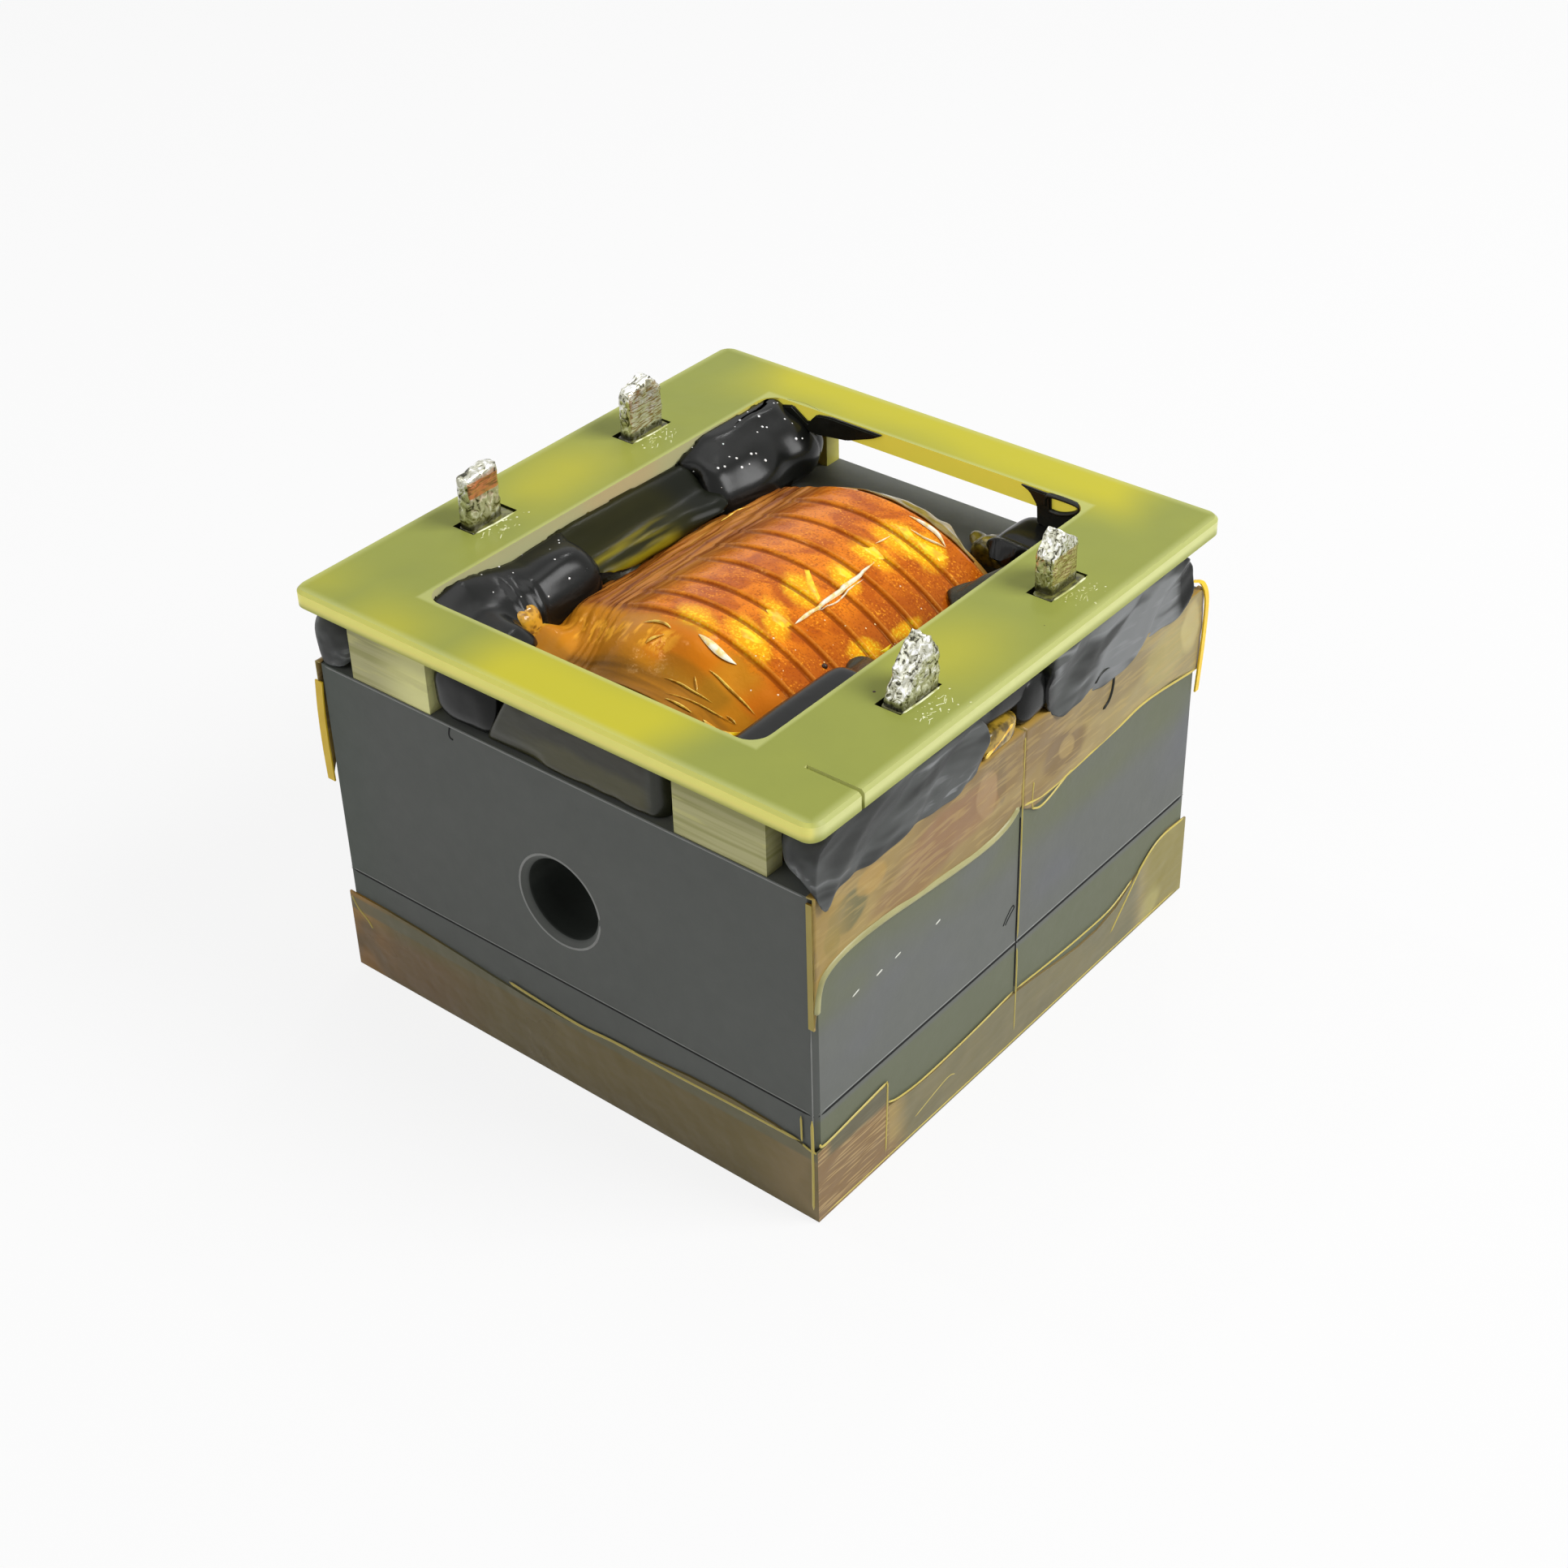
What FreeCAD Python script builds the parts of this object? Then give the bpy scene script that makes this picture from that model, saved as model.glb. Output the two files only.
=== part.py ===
"""A ferrite-cored power transformer that solders to a circuit board.

Frame: X runs along the face with the round hole, Y runs back from that face, Z is up.
The origin is at the middle of the underside. All lengths are in millimetres.
"""
import FreeCAD
import Part

import math
import os

import Sketcher
from FreeCAD import Placement, Rotation, Vector

FRONT = -1
REAR = 1
LEFT = -1
RIGHT = 1
SIDE_NAMES = {LEFT: "left", RIGHT: "right"}
END_NAMES = {FRONT: "front", REAR: "rear"}
CORNERS = [(LEFT, FRONT), (LEFT, REAR), (RIGHT, FRONT), (RIGHT, REAR)]

# Driving dimensions. Every other size and place in the model is worked out from these.
DIMENSIONS = {
    # Pin board of glass-epoxy laminate
    "board_overhang_side": 1.1,
    "board_overhang_end": 1.0,
    "board_thickness": 2.0,
    "board_corner": 1.5,
    "board_edge": 0.3,
    "side_rail": 10.8,
    "end_rail": 6.1,
    "window_corner": 2.0,
    "slit_width": 0.4,
    "slit_length": 5.8,
    "slit_inset": 6.3,
    # Standoff strips between the core and the board
    "spacer_length": 9.9,
    "spacer_thickness": 2.0,
    "spacer_height": 6.0,
    "spacer_side_inset": 4.7,
    "spacer_inset": 0.1,
    # Ferrite core
    "core_width": 57.8,
    "core_depth": 59.0,
    "core_height": 35.5,
    "lower_height": 11.8,
    "end_plate": 7.5,
    "post_radius": 9.5,
    "post_gap": 1.0,
    "bore_radius": 4.2,
    "bore_chamfer": 0.5,
    "core_edge": 0.5,
    # Coil, from the former outwards
    "former_clearance": 0.3,
    "former_wall": 1.0,
    "inner_build": 4.0,
    "inner_length": 33.3,
    "layer_tape": 0.3,
    "layer_fit": 0.05,
    "outer_build": 4.3,
    "turn_pitch": 3.7,
    "turn_count": 7,
    "turn_step": 0.5,
    "margin_width": 1.6,
    "nose_drop": 2.95,
    "jacket_wall": 0.5,
    "jacket_crown": 0.4,
    "coil_clearance": 0.85,
    # Leads and their tinned ends
    "lead_radius": 1.9,
    "lead_bend": 3.8,
    "lead_turn": 3.7,
    "lead_turn_inset": 8.9,
    "lead_start_inset": 3.2,
    "lead_climb": 4.0,
    "lead_leave_front": 2.2,
    "lead_leave_left_rear": 4.4,
    "lead_leave_right_rear": 12.0,
    "strip_height": 4.6,
    "strip_run": 1.0,
    "strip_taper": 3.0,
    "tab_thickness": 1.9,
    "tab_length": 5.0,
    "tab_rise": 4.6,
    "tab_snip": 1.0,
    "tab_corner": 0.4,
    "tab_inset": 18.5,
    "slot_clearance": 0.4,
    # Shrink sleeves over the leads
    "sleeve_wall": 0.9,
    "sleeve_fit": 0.25,
    "sleeve_round": 1.7,
    "sleeve_corner": 2.05,
    "sleeve_slit": 0.6,
    "sleeve_overhang": 0.7,
    "sleeve_margin": 0.45,
    "sleeve_end_gap": 0.3,
    "sleeve_inner_front": 6.6,
    "sleeve_inner_left_rear": 8.9,
    "sleeve_outer_front": 6.0,
    "sleeve_outer_rear": 3.0,
    "sleeve_tail_left_front": 4.2,
    "sleeve_tail_right_rear": 3.0,
    # Barrier film that stands under the front of the board
    "barrier_wall": 0.3,
    "barrier_curl": 1.0,
    "barrier_foot": 2.4,
    "barrier_gap": 0.3,
    # Adhesive tapes
    "tape_thickness": 0.2,
    "base_height": 8.2,
    "base_side_height": 5.4,
    "tape_tear": 1.0,
    "band_width": 8.8,
    "band_wrap": 1.2,
    "band_flap": 9.0,
    "loop_radius": 0.72,
    "wrap_fit": 0.2,
}

# The named lengths that say how far each lead and sleeve reaches, measured along the depth from the
# middle of the object: where the lead leaves the winding, where the sleeve's inner and outer legs
# end, and how far its fold bulges inwards. None means that the sleeve has no such leg or bulge.
ROUTES = {
    (LEFT, FRONT): {
        "leave": "lead_leave_front",
        "inner_end": "sleeve_inner_front",
        "outer_end": "sleeve_outer_front",
        "tail": "sleeve_tail_left_front",
    },
    (LEFT, REAR): {
        "leave": "lead_leave_left_rear",
        "inner_end": "sleeve_inner_left_rear",
        "outer_end": "sleeve_outer_rear",
        "tail": None,
    },
    (RIGHT, FRONT): {
        "leave": "lead_leave_front",
        "inner_end": "sleeve_inner_front",
        "outer_end": "sleeve_outer_front",
        "tail": None,
    },
    (RIGHT, REAR): {
        "leave": "lead_leave_right_rear",
        "inner_end": None,
        "outer_end": "sleeve_outer_rear",
        "tail": "sleeve_tail_right_rear",
    },
}

# Height of each tinned end at its front edge, its peak and its rear edge, over the nominal rise,
# as shares of the snip.
TAB_TOPS = {
    (LEFT, FRONT): (0.1, 0.9, 0.5),
    (LEFT, REAR): (-0.1, 1.3, -1.0),
    (RIGHT, FRONT): (-0.3, 1.1, -1.2),
    (RIGHT, REAR): (0.0, 0.9, -0.9),
}

doc = FreeCAD.newDocument("transformer")
sheet = doc.addObject("Spreadsheet::Sheet", "dims")
for row, (name, value) in enumerate(DIMENSIONS.items(), start=1):
    sheet.set(f"A{row}", name)
    sheet.set(f"B{row}", str(value))
    sheet.setAlias(f"B{row}", name)
doc.recompute()


class Sizes:
    """The sheet's values, and the heights and radii that follow from them."""

    def __init__(self, cells):
        for name in DIMENSIONS:
            setattr(self, name, float(cells.get(name)))
        self.side_face = self.core_width / 2
        self.end_face = self.core_depth / 2
        self.board_side = self.side_face + self.board_overhang_side
        self.board_end = self.end_face + self.board_overhang_end
        self.core_top = self.tape_thickness + self.core_height
        self.seam = self.tape_thickness + self.lower_height
        self.axis = self.seam + self.post_radius
        self.board_bottom = self.core_top + self.spacer_height
        self.board_top = self.board_bottom + self.board_thickness
        self.former_inside = self.post_radius + self.former_clearance
        self.former_outside = self.former_inside + self.former_wall
        self.inner_outside = self.former_outside + self.layer_fit + self.inner_build
        self.tape_outside = self.inner_outside + self.layer_fit + self.layer_tape
        self.outer_outside = self.tape_outside + self.layer_fit + self.outer_build
        self.nose_outside = self.outer_outside - self.nose_drop
        self.jacket_inside = self.outer_outside + self.layer_fit
        self.jacket_outside = self.jacket_inside + self.jacket_wall
        self.jacket_crown_radius = self.jacket_outside + self.jacket_crown
        self.coil_window = self.jacket_crown_radius + self.coil_clearance
        self.winding_end = self.inner_length / 2
        self.winding_start = self.winding_end - self.turn_pitch * self.turn_count
        self.coil_end = self.winding_end + self.margin_width + self.layer_fit
        self.tab_across = self.board_side - self.side_rail / 2
        self.tab_along = self.end_face - self.tab_inset
        self.inner_run = self.tab_across - 2 * self.lead_turn
        window_edge = math.sqrt(self.coil_window**2 - (self.core_top - self.axis) ** 2)
        self.lead_start = window_edge - self.lead_start_inset
        self.lead_turn_place = self.end_face - self.lead_turn_inset
        self.sleeve_bottom = self.core_top + self.tape_thickness
        self.run_height = self.sleeve_bottom + self.sleeve_wall + self.lead_radius
        self.sleeve_height = 2 * (self.sleeve_wall + self.lead_radius)
        self.spacer_outer = self.side_face - self.spacer_side_inset
        self.spacer_back = self.end_face - self.spacer_inset - self.spacer_thickness


size = Sizes(sheet)


def bind(target, **expressions):
    """Ties properties of an object to expressions over the sheet's cells."""
    for name, expression in expressions.items():
        target.setExpression(name.replace("__", "."), expression)
    return target


def feature(label, shape, position=None):
    """A sub-part whose shape is computed here, placed after its shape is set."""
    item = doc.addObject("Part::Feature", label)
    item.Label = label
    item.Shape = shape
    item.Placement = Placement(position or Vector(), Rotation())
    return item


def place(target, x="0", y="0", z="0"):
    bind(target, Placement__Base__x=x, Placement__Base__y=y, Placement__Base__z=z)
    return target


def block(name, length, width, height, x, y, z):
    """A box with its sizes and its lowest corner bound to the sheet."""
    box = doc.addObject("Part::Box", name)
    bind(box, Length=length, Width=width, Height=height)
    return place(box, x, y, z)


def rod(name, radius, length, start):
    """A cylinder about the coil's axis, from the depth `start` towards the rear."""
    cylinder = doc.addObject("Part::Cylinder", name)
    bind(cylinder, Radius=radius, Height=length)
    cylinder.Placement = Placement(Vector(), Rotation(Vector(1, 0, 0), -90))
    return place(cylinder, "0", start, AXIS)


def tube(label, outside, inside, length, start):
    """A tube about the coil's axis."""
    pipe = doc.addObject("Part::Cut", label)
    pipe.Label = label
    pipe.Base = rod(label + "_solid", outside, length, start)
    pipe.Tool = rod(label + "_hollow", inside, length, start)
    return pipe


def cut(label, base, tool):
    result = doc.addObject("Part::Cut", label)
    result.Label = label
    result.Base = base
    result.Tool = tool
    return result


def fuse(label, base, tool):
    result = doc.addObject("Part::Fuse", label)
    result.Label = label
    result.Base = base
    result.Tool = tool
    return result


# Expressions over the sheet that several sub-parts share
SEAM = "dims.tape_thickness + dims.lower_height"
AXIS = f"{SEAM} + dims.post_radius"
CORE_TOP = "dims.tape_thickness + dims.core_height"
BOARD_BOTTOM = f"{CORE_TOP} + dims.spacer_height"
FORMER_INSIDE = "dims.post_radius + dims.former_clearance"
FORMER_OUTSIDE = f"{FORMER_INSIDE} + dims.former_wall"
INNER_OUTSIDE = f"{FORMER_OUTSIDE} + dims.layer_fit + dims.inner_build"
TAPE_OUTSIDE = f"{INNER_OUTSIDE} + dims.layer_fit + dims.layer_tape"
OUTER_OUTSIDE = f"{TAPE_OUTSIDE} + dims.layer_fit + dims.outer_build"
JACKET_INSIDE = f"{OUTER_OUTSIDE} + dims.layer_fit"
COIL_WINDOW = f"{JACKET_INSIDE} + dims.jacket_wall + dims.jacket_crown + dims.coil_clearance"
WINDING_LENGTH = "(dims.turn_pitch * dims.turn_count)"
COIL_LENGTH = "(dims.inner_length + 2 * (dims.margin_width + dims.layer_fit))"
HALF_DEPTH = "dims.core_depth / 2"
HALF_WIDTH = "dims.core_width / 2"
POCKET_DEPTH = f"({HALF_DEPTH} - dims.end_plate)"
BOARD_SIDE = f"({HALF_WIDTH} + dims.board_overhang_side)"
BOARD_END = f"({HALF_DEPTH} + dims.board_overhang_end)"
TAB_ACROSS = f"({BOARD_SIDE} - dims.side_rail / 2)"
TAB_ALONG = f"({HALF_DEPTH} - dims.tab_inset)"


# The ferrite core
def softened(label, source, picks, reach):
    """The block with the picked edges broken by a small chamfer."""
    doc.recompute()
    result = doc.addObject("Part::Chamfer", label)
    result.Label = label
    result.Base = source
    numbers = [n for n, edge in enumerate(source.Shape.Edges, start=1) if picks(edge)]
    result.Edges = [(n, reach, reach) for n in numbers]
    return result


def is_outer_upright(edge):
    """An upright edge at one of the block's outer corners."""
    ends = [vertex.Point for vertex in edge.Vertexes]
    if len(ends) != 2 or abs(ends[0].z - ends[1].z) < 1:
        return False
    return all(
        abs(abs(p.x) - size.side_face) < 0.01 and abs(abs(p.y) - size.end_face) < 0.01 for p in ends
    )


def is_bore_mouth(end):
    """The rim of the bore on the outer face of one end plate."""

    def test(edge):
        curve = edge.Curve
        if not isinstance(curve, Part.Circle) or abs(curve.Radius - size.bore_radius) > 0.01:
            return False
        return abs(edge.BoundBox.Center.y - end * size.end_face) < 0.01

    return test


def upper_block(end):
    """Half of the upper core: end plate, round post with its bore, and legs curved to the coil."""
    name = f"core_{END_NAMES[end]}_upper"
    start = f"-{HALF_DEPTH}" if end == FRONT else "0"
    pocket_start = f"-{POCKET_DEPTH}" if end == FRONT else "0"
    post_start = f"-{HALF_DEPTH}" if end == FRONT else "dims.post_gap / 2"
    height = "dims.core_height - dims.lower_height"
    body = block(name + "_stock", "dims.core_width", HALF_DEPTH, height, f"-{HALF_WIDTH}", start, SEAM)
    pocket = rod(name + "_pocket", COIL_WINDOW, POCKET_DEPTH, pocket_start)
    shell = cut(name + "_shell", body, pocket)
    post = rod(name + "_post", "dims.post_radius", f"{HALF_DEPTH} - dims.post_gap / 2", post_start)
    joined = fuse(name + "_joined", shell, post)
    bored = cut(name + "_bored", joined, rod(name + "_bore", "dims.bore_radius", HALF_DEPTH, start))
    edged = softened(name + "_edged", bored, is_outer_upright, size.core_edge)
    return softened(name, edged, is_bore_mouth(end), size.bore_chamfer)


def lower_block(end):
    """Half of the lower core: a U-shaped bar that lets the coil pass between its legs."""
    name = f"core_{END_NAMES[end]}_lower"
    start = f"-{HALF_DEPTH}" if end == FRONT else "0"
    pocket_start = f"-{POCKET_DEPTH}" if end == FRONT else "0"
    base = "dims.tape_thickness"
    stock = block(
        name + "_stock", "dims.core_width", HALF_DEPTH, "dims.lower_height", f"-{HALF_WIDTH}", start, base
    )
    pocket = block(
        name + "_pocket",
        f"2 * ({COIL_WINDOW})",
        POCKET_DEPTH,
        "dims.lower_height",
        f"-({COIL_WINDOW})",
        pocket_start,
        base,
    )
    bar = cut(name + "_bar", stock, pocket)
    return softened(name, bar, is_outer_upright, size.core_edge)


core_blocks = [upper_block(FRONT), upper_block(REAR), lower_block(FRONT), lower_block(REAR)]


# The coil
coil_former = tube("coil_former", FORMER_OUTSIDE, FORMER_INSIDE, COIL_LENGTH, f"-{COIL_LENGTH} / 2")
inner_winding = tube(
    "inner_winding",
    INNER_OUTSIDE,
    f"{FORMER_OUTSIDE} + dims.layer_fit",
    "dims.inner_length",
    "-dims.inner_length / 2",
)
interlayer_tape = tube(
    "interlayer_tape",
    TAPE_OUTSIDE,
    f"{INNER_OUTSIDE} + dims.layer_fit",
    "dims.inner_length",
    "-dims.inner_length / 2",
)
outer_winding = tube(
    "outer_winding",
    OUTER_OUTSIDE,
    f"{TAPE_OUTSIDE} + dims.layer_fit",
    WINDING_LENGTH,
    f"dims.inner_length / 2 - {WINDING_LENGTH}",
)
margin_tapes = [
    tube(
        f"margin_tape_{END_NAMES[end]}",
        outside,
        f"{FORMER_OUTSIDE} + dims.layer_fit",
        "dims.margin_width",
        start,
    )
    for end, outside, start in (
        (FRONT, f"{OUTER_OUTSIDE} - dims.nose_drop", f"-{COIL_LENGTH} / 2"),
        (REAR, OUTER_OUTSIDE, "dims.inner_length / 2 + dims.layer_fit"),
    )
]


# The film is drawn as flat facets round the winding, this many to a turn.
FILM_SIDES = 40


def faceted_drum(stations):
    """A solid about the coil's axis through the (place, radius) stations, in flat facets."""
    step = 2 * math.pi / FILM_SIDES
    rings = []
    for place, radius in stations:
        turns = [n * step for n in range(FILM_SIDES)]
        points = [Vector(radius * math.sin(t), place, radius * math.cos(t)) for t in turns]
        rings.append(points + points[:1])
    faces = [Part.Face(Part.makePolygon(ring)) for ring in (rings[0], rings[-1])]
    for near, far in zip(rings, rings[1:]):
        for n in range(FILM_SIDES):
            corners = [near[n], near[n + 1], far[n + 1], far[n], near[n]]
            faces.append(Part.Face(Part.makePolygon(corners)))
    drum = Part.Solid(Part.makeShell(faces))
    if drum.Volume < 0:
        drum.reverse()
    return drum


def jacket_shape():
    """The film over the winding: each turn laps the next like a shingle, and the film is drawn down
    at the front, past the last turn, to the margin tape."""
    flat_share = math.cos(math.pi / FILM_SIDES)
    front_margin = (size.nose_outside + size.layer_fit) / flat_share
    rear_margin = (size.outer_outside + size.layer_fit) / flat_share
    outside = [(-size.coil_end, front_margin + size.jacket_wall)]
    for turn in range(int(size.turn_count)):
        near = size.winding_start + turn * size.turn_pitch
        outside.append((near, size.jacket_outside))
        outside.append((near + size.turn_step, size.jacket_crown_radius))
    outside.append((size.winding_end, size.jacket_outside))
    outside.append((size.coil_end, rear_margin + size.jacket_wall))
    inside = [
        (-size.coil_end, front_margin),
        (-size.coil_end + size.margin_width, front_margin),
        (size.winding_start - size.layer_fit, rear_margin),
        (size.coil_end, rear_margin),
    ]
    return faceted_drum(outside).cut(faceted_drum(inside))


# The leads, their tinned ends and their sleeves.
# Each is drawn for the right rear corner as (across, along, height) and mirrored to its own.
def mirrored(shape, side, end):
    """A copy of a shape drawn in the right rear corner, mirrored to the corner that is asked for."""
    copy = shape.copy()
    if side == LEFT:
        copy = copy.mirror(Vector(), Vector(1, 0, 0))
    if end == FRONT:
        copy = copy.mirror(Vector(), Vector(0, 1, 0))
    return copy


# A bend is drawn as short straight runs, and a round bundle as a prism of this many sides.
BEND_STEP = math.radians(30)
BUNDLE_SIDES = 12


def bend_points(start, centre, stop):
    """Points along an arc about a centre, both ends included."""
    first = start - centre
    last = stop - centre
    angle = first.getAngle(last)
    across = first.cross(last).cross(first).normalize() * first.Length
    count = max(1, round(angle / BEND_STEP))
    turns = [angle * n / count for n in range(count + 1)]
    return [centre + first * math.cos(turn) + across * math.sin(turn) for turn in turns]


def rounded_path(points, radius):
    """The route through the points, with each corner rounded to one radius."""
    path = [points[0]]
    for before, corner, after in zip(points, points[1:], points[2:]):
        back = (before - corner).normalize()
        ahead = (after - corner).normalize()
        half_angle = back.getAngle(ahead) / 2
        reach = radius / math.tan(half_angle)
        centre = corner + (back + ahead).normalize() * (radius / math.sin(half_angle))
        path += bend_points(corner + back * reach, centre, corner + ahead * reach)
    return path


def route_length(corner, name):
    """A length of a route, or 0 where the route has no such leg."""
    cell = ROUTES[corner][name]
    return getattr(size, cell) if cell else 0


def lead_path(corner, finish):
    """The centre line of a lead: up off the winding, along the core, round the hairpin and back."""
    seat = size.outer_outside
    start_height = size.axis + math.sqrt(seat**2 - size.lead_start**2) - size.layer_fit
    level = size.run_height
    place = size.lead_turn_place
    leave_place = route_length(corner, "leave")
    leave = Vector(size.lead_start, leave_place, start_height)
    climb = Vector(size.inner_run, leave_place + size.lead_climb, level)
    turn_in = Vector(size.inner_run, place, level)
    centre = Vector(size.inner_run + size.lead_turn, place, level)
    middle = Vector(size.inner_run + size.lead_turn, place + size.lead_turn, level)
    turn_out = Vector(size.tab_across, place, level)
    path = rounded_path([leave, climb, turn_in], size.lead_bend)
    path += bend_points(turn_in, centre, middle)
    path += bend_points(middle, centre, turn_out)[1:]
    path.append(Vector(size.tab_across, finish, level))
    return path


def strip_start():
    """Where the flattened strip begins, along the depth."""
    return size.tab_along + size.tab_length / 2 + size.strip_run


def ring_points(radius):
    """The corners of the bundle's section, as (across, up) about its centre."""
    step = 2 * math.pi / BUNDLE_SIDES
    angles = [(n + 0.5) * step for n in range(BUNDLE_SIDES)]
    return [(radius * math.cos(angle), radius * math.sin(angle)) for angle in angles]


def swept_round(points, radius):
    """A bar of the bundle's section along a path of straight runs."""
    start = points[0]
    forward = (points[1] - start).normalize()
    across = forward.cross(Vector(0, 0, 1)).normalize()
    up = across.cross(forward)
    corners = [start + across * a + up * b for a, b in ring_points(radius)]
    profile = Part.makePolygon(corners + corners[:1])
    mitred = 1
    return Part.makePolygon(points).makePipeShell([profile], True, False, mitred)


def taper_shape():
    """The bundle pressed from its round section to the flat strip."""
    level = size.run_height
    flat_place = strip_start()
    round_place = flat_place + size.strip_taper
    half_thick = size.tab_thickness / 2
    half_high = size.strip_height / 2
    round_end = []
    flat_end = []
    for across, up in ring_points(size.lead_radius):
        reach = max(abs(across) / half_thick, abs(up) / half_high)
        round_end.append(Vector(size.tab_across + across, round_place, level + up))
        flat_end.append(Vector(size.tab_across + across / reach, flat_place, level + up / reach))
    corners = [round_end + round_end[:1], flat_end + flat_end[:1]]
    faces = [Part.Face(Part.makePolygon(ring)) for ring in corners]
    for n in range(BUNDLE_SIDES):
        near, far = corners[0][n : n + 2]
        near_flat, far_flat = corners[1][n : n + 2]
        faces.append(Part.Face(Part.makePolygon([near, far, near_flat, near])))
        faces.append(Part.Face(Part.makePolygon([far, far_flat, near_flat, far])))
    taper = Part.Solid(Part.makeShell(faces))
    if taper.Volume < 0:
        taper.reverse()
    return taper


def tab_shape(tops, end):
    """The flat strip turned up edgewise to stand through the board's slot."""
    low = size.run_height - size.strip_height / 2
    high = size.run_height + size.strip_height / 2
    near = size.tab_along - size.tab_length / 2
    far = size.tab_along + size.tab_length / 2
    inner_bend = size.strip_run / 2
    outer_bend = size.strip_height / 2
    top = size.board_top + size.tab_rise
    front_top, peak, rear_top = [top + share * size.tab_snip for share in tops]
    near_top, far_top = (rear_top, front_top) if end == FRONT else (front_top, rear_top)
    x = size.tab_across - size.tab_thickness / 2
    outline = [
        Vector(x, strip_start(), low),
        Vector(x, near + outer_bend, low),
        Vector(x, near, low + outer_bend),
        Vector(x, near, near_top),
        Vector(x, size.tab_along, peak),
        Vector(x, far, far_top),
        Vector(x, far, high + inner_bend),
        Vector(x, far + inner_bend, high),
        Vector(x, strip_start(), high),
    ]
    outline.append(outline[0])
    plate = Part.Face(Part.makePolygon(outline)).extrude(Vector(size.tab_thickness, 0, 0))
    uprights = [edge for edge in plate.Edges if is_tab_corner(edge)]
    return plate.makeChamfer(size.tab_corner, uprights)


def is_tab_corner(edge):
    """An edge of the tinned end that shows above the board's underside."""
    ends = [vertex.Point for vertex in edge.Vertexes]
    if len(ends) != 2 or abs(ends[0].x - ends[1].x) > 0.01:
        return False
    return max(p.z for p in ends) > size.board_top


def lead_shape(corner):
    """One lead with its tinned end, seated on the winding."""
    taper_end = strip_start() + size.strip_taper
    round_part = swept_round(lead_path(corner, taper_end), size.lead_radius)
    whole = round_part.fuse([taper_shape(), tab_shape(TAB_TOPS[corner], corner[1])])
    return whole.cut(about_axis(size.outer_outside + size.layer_fit)).removeSplitter()


def about_axis(radius):
    """A solid cylinder about the coil's axis, as long as the core is deep."""
    start = Vector(0, -size.end_face, size.axis)
    return Part.makeCylinder(radius, size.core_depth, start, Vector(0, 1, 0))


def lead_room(corner, fit):
    """The space that a lead takes in what surrounds it."""
    round_part = swept_round(lead_path(corner, strip_start()), size.lead_radius + fit)
    wide = size.tab_thickness + 2 * fit
    near = size.tab_along - size.tab_length / 2 - fit
    strip = Part.makeBox(
        wide,
        strip_start() + size.strip_taper + fit - near,
        size.strip_height + 2 * fit,
        Vector(size.tab_across - wide / 2, near, size.run_height - size.strip_height / 2 - fit),
    )
    rise = Part.makeBox(
        wide,
        size.tab_length + 2 * fit,
        size.board_top - size.run_height,
        Vector(size.tab_across - wide / 2, near, size.run_height),
    )
    return round_part.fuse([strip, rise])


def rounded_outline(corners):
    """A closed flat outline through (across, along, radius) corners, each rounded by its radius."""
    points = [Vector(across, along, 0) for across, along, _ in corners]
    count = len(points)
    path = []
    for n in range(count):
        here = points[n]
        back = (points[n - 1] - here).normalize()
        ahead = (points[(n + 1) % count] - here).normalize()
        radius = corners[n][2]
        half_angle = back.getAngle(ahead) / 2
        reach = radius / math.tan(half_angle)
        centre = here + (back + ahead).normalize() * (radius / math.sin(half_angle))
        path += bend_points(here + back * reach, centre, here + ahead * reach)
    path.append(path[0])
    return Part.makePolygon(path)


def sleeve_outline(corner):
    """The outline of a flattened sleeve from above, folded into a hairpin beside the window."""
    inner_end = route_length(corner, "inner_end")
    outer_end = route_length(corner, "outer_end")
    tail = route_length(corner, "tail")
    inner_side = size.inner_run - size.lead_turn
    fold = size.inner_run + size.lead_turn
    outer_side = size.side_face + size.sleeve_overhang
    bulge = size.lead_radius + size.sleeve_fit + size.sleeve_margin
    widest = size.lead_turn_place + size.lead_turn + bulge
    cross_end = min(widest, size.spacer_back - size.sleeve_margin)
    cross_start = size.lead_turn_place - size.sleeve_round
    loose = size.sleeve_corner
    half_slit = size.sleeve_slit / 2
    tight = half_slit / 2
    outline = [
        (fold + half_slit, cross_start, tight),
        (fold + half_slit, outer_end, loose),
        (outer_side, outer_end, loose),
    ]
    if corner[1] == FRONT:
        core_corner = size.end_face - size.sleeve_end_gap
        beside_spacer = size.spacer_outer + size.sleeve_margin
        outline.append((outer_side, core_corner, loose))
        outline.append((beside_spacer, core_corner, loose))
        outline.append((beside_spacer, cross_end, tight))
    else:
        outline.append((outer_side, cross_end, loose))
    outline.append((inner_side - tail, cross_end, loose))
    if tail:
        outline.append((inner_side - tail, cross_start, loose))
    if inner_end:
        if tail:
            outline.append((inner_side, cross_start, tight))
        outline.append((inner_side, inner_end, loose))
        outline.append((fold - half_slit, inner_end, loose))
        outline.append((fold - half_slit, cross_start, tight))
    return rounded_outline(outline)


def sleeve_shape(corner):
    """A flattened shrink sleeve with its edges rolled, open where its lead runs through."""
    slab = Part.Face(sleeve_outline(corner)).extrude(Vector(0, 0, size.sleeve_height))
    slab.translate(Vector(0, 0, size.sleeve_bottom))
    pillow = slab.makeChamfer(size.sleeve_round, [edge for edge in slab.Edges if is_rim(edge)])
    film_side = about_axis(size.jacket_crown_radius + size.wrap_fit)
    return pillow.cut([lead_room(corner, size.sleeve_fit), film_side])


def is_rim(edge):
    """An edge that runs level, round the top or the underside."""
    box = edge.BoundBox
    return box.ZLength < 0.001


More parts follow.
